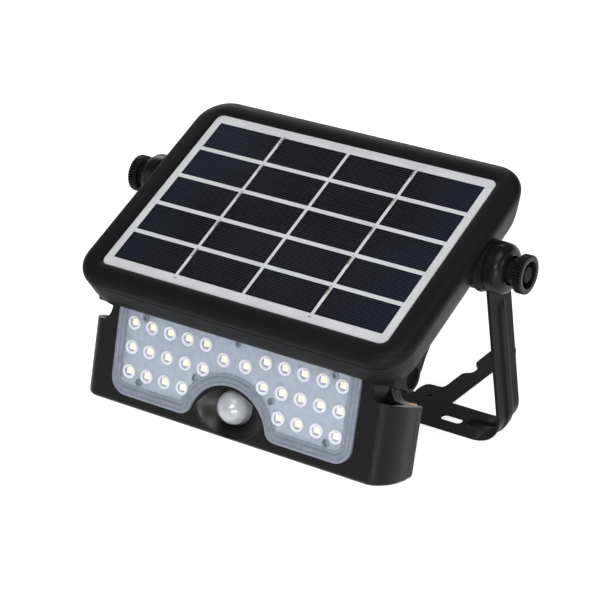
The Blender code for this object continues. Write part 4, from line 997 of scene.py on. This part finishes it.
def build_knobs():
    flutes = 40
    flute_depths = {6: 0.5, 7: 0.8, 8: 0.95, 9: 1.0, 10: 1.0, 11: 1.0, 12: 1.0, 13: 0.9, 14: 0.75, 15: 0.5}
    for side, name in SIDES:
        key = [(105.2, 2.8), (105.2, 6.3), (105.5, 6.6), (113.3, 6.6), (113.6, 6.7), (113.8, 7.2),
               (113.9, 8.9), (114.1, 9.4), (114.4, 9.75), (114.8, 9.85), (117.6, 9.85), (118.2, 9.83),
               (118.45, 9.75), (118.65, 9.6), (118.77, 9.35), (118.8, 9.0), (118.8, 7.2), (118.7, 6.9),
               (118.4, 6.75), (114.8, 6.7), (114.8, 2.8)]

        def reach(index, i):
            return -flute_depths.get(index, 0.0) * (0.0, 0.0, 0.2, 0.55, 0.7, 0.55, 0.2, 0.0)[i % 8]

        knob = shape(turned_x(key, PIVOT_CENTRE, flutes * 8, True, side, reach), HOUSING)
        piece(knob, f"knob_{name}", f"knob_{name}", [f"clamp_knob_{name}"], CAP_PLASTIC, "grey_plastic", 40)
        hexagon = []
        for x, radius in ((115.1, 4.6), (117.5, 4.6), (117.9, 4.35), (118.0, 4.1)):
            hexagon.append([(side * x, PIVOT_Y + radius * math.cos(math.radians(60 * i)),
                             PIVOT_Z + radius * math.sin(math.radians(60 * i))) for i in range(6)])
        bolt = shape(loft(hexagon), HOUSING)
        shank = turned_x([(88.4, 2.5), (115.6, 2.5)], PIVOT_CENTRE, 32, False, side)
        combine(bolt, "UNION", shape(shank, HOUSING))
        soften(bolt, 0.12, 2, 30)
        piece(bolt, f"bolt_{name}", f"knob_{name}", [f"clamp_bolt_{name}"], BLACK_STEEL, "bright_steel")


build_bracket()
build_bezel()
build_panel()
build_rear_shell()
build_housing_fittings()
build_head_shells()
build_lens()
build_board()
build_sensor()
build_head_fittings()
build_knobs()

# Inner nodes keep their meshes and only get a finish
HIDDEN = {"housing_seal": SHADE_DARKENED_RUBBER, "clamp_insert_left": BRASS, "clamp_insert_right": BRASS,
          "hinge_pin_left": STEEL, "hinge_pin_right": STEEL,
          "battery_cell_front": WRAP, "battery_cell_rear": WRAP,
          "battery_cradle": HOUSING_PLASTIC, "control_board": BOARD_GREEN, "heat_plate": ALUMINIUM,
          "motion_sensor": STEEL, "sensor_board": BOARD_GREEN}
for node_name, finish in HIDDEN.items():
    inner_part = frame["nodes"][node_name]
    inner_part.data.materials.clear()
    inner_part.data.materials.append(finish)


# ---------------------------------------------------------------- stage

FOCAL_PIXELS, PHOTO_PIXELS, SENSOR_WIDTH = 2265.1, 600, 36.0


def build_camera():
    """The camera that took the photograph, as fitted to the panel and the bracket."""
    forward = Vector((-0.50656, 0.65096, -0.56537))
    right = Vector((0.82886, 0.54825, -0.11141))
    up = Vector((-0.23744, 0.52506, 0.81727))
    data = bpy.data.cameras.new("camera")
    data.sensor_width = SENSOR_WIDTH
    data.lens = SENSOR_WIDTH * FOCAL_PIXELS / PHOTO_PIXELS
    data.clip_start = 0.05
    camera = bpy.data.objects.new("camera", data)
    bpy.context.scene.collection.objects.link(camera)
    rotation = Matrix((right, up, -forward)).transposed()
    camera.matrix_world = Matrix.Translation((0.5826, -0.7770, 0.7248)) @ rotation.to_4x4()
    bpy.context.scene.camera = camera


LIGHT_TARGET = Vector((0, -0.02, 0.07))
LIGHTS = (("key", (0.39, -1.12, 1.0), (0.4, 0.4), 8),
          ("right", (1.45, 0.03, 0.46), (0.4, 0.4), 3),
          ("side", (0.8, -1.2, 0.3), (0.8, 0.4), 9),
          ("left", (-1.1, -0.9, 0.7), (0.6, 0.7), 3),
          ("top", (0.35, -0.2, 1.7), (1.2, 1.1), 16),
          ("back", (-0.7, 1.0, 0.6), (0.9, 0.35), 6))


def area_light(name, position, size, power):
    data = bpy.data.lights.new(name, "AREA")
    data.shape = "RECTANGLE"
    data.size, data.size_y = size
    data.energy = power
    light = bpy.data.objects.new(name, data)
    bpy.context.scene.collection.objects.link(light)
    light.location = position
    light.rotation_euler = (LIGHT_TARGET - Vector(position)).to_track_quat("-Z", "Y").to_euler()


def build_stage():
    floor = shape(box((-9000, -9000, -30), (9000, 9000, -0.8)), WORLD, "floor")
    values = {"Roughness": 0.9, "Specular IOR Level": 0.1, "Emission Color": (1, 1, 1, 1),
              "Emission Strength": 0.85}
    material, tree, shader = new_material("floor_white", values)
    cloud = noise(tree, place_of(tree), 3, 3)
    colour = ramp(tree, cloud, ((0.3, (0.49, 0.49, 0.49)), (0.7, (0.51, 0.51, 0.51))))
    tree.links.new(colour, shader.inputs["Base Color"])
    floor.data.materials.append(material)
    for name, position, size, power in LIGHTS:
        area_light(name, position, size, power)
    world = bpy.data.worlds.new("studio")
    bpy.context.scene.world = world
    world.use_nodes = True
    tree = world.node_tree
    background = tree.nodes["Background"]
    direction = node(tree, "ShaderNodeTexCoord", {}).outputs["Generated"]
    height = node(tree, "ShaderNodeSeparateXYZ", {"Vector": direction}).outputs["Z"]
    stops = ((0.0, (0.3, 0.3, 0.3)), (0.25, (0.15, 0.15, 0.152)), (0.7, (0.04, 0.04, 0.042)))
    sky = ramp(tree, height, stops)
    tree.links.new(sky, background.inputs["Color"])
    background.inputs["Strength"].default_value = 0.8
    bpy.context.scene.view_settings.view_transform = "Standard"


build_camera()
build_stage()
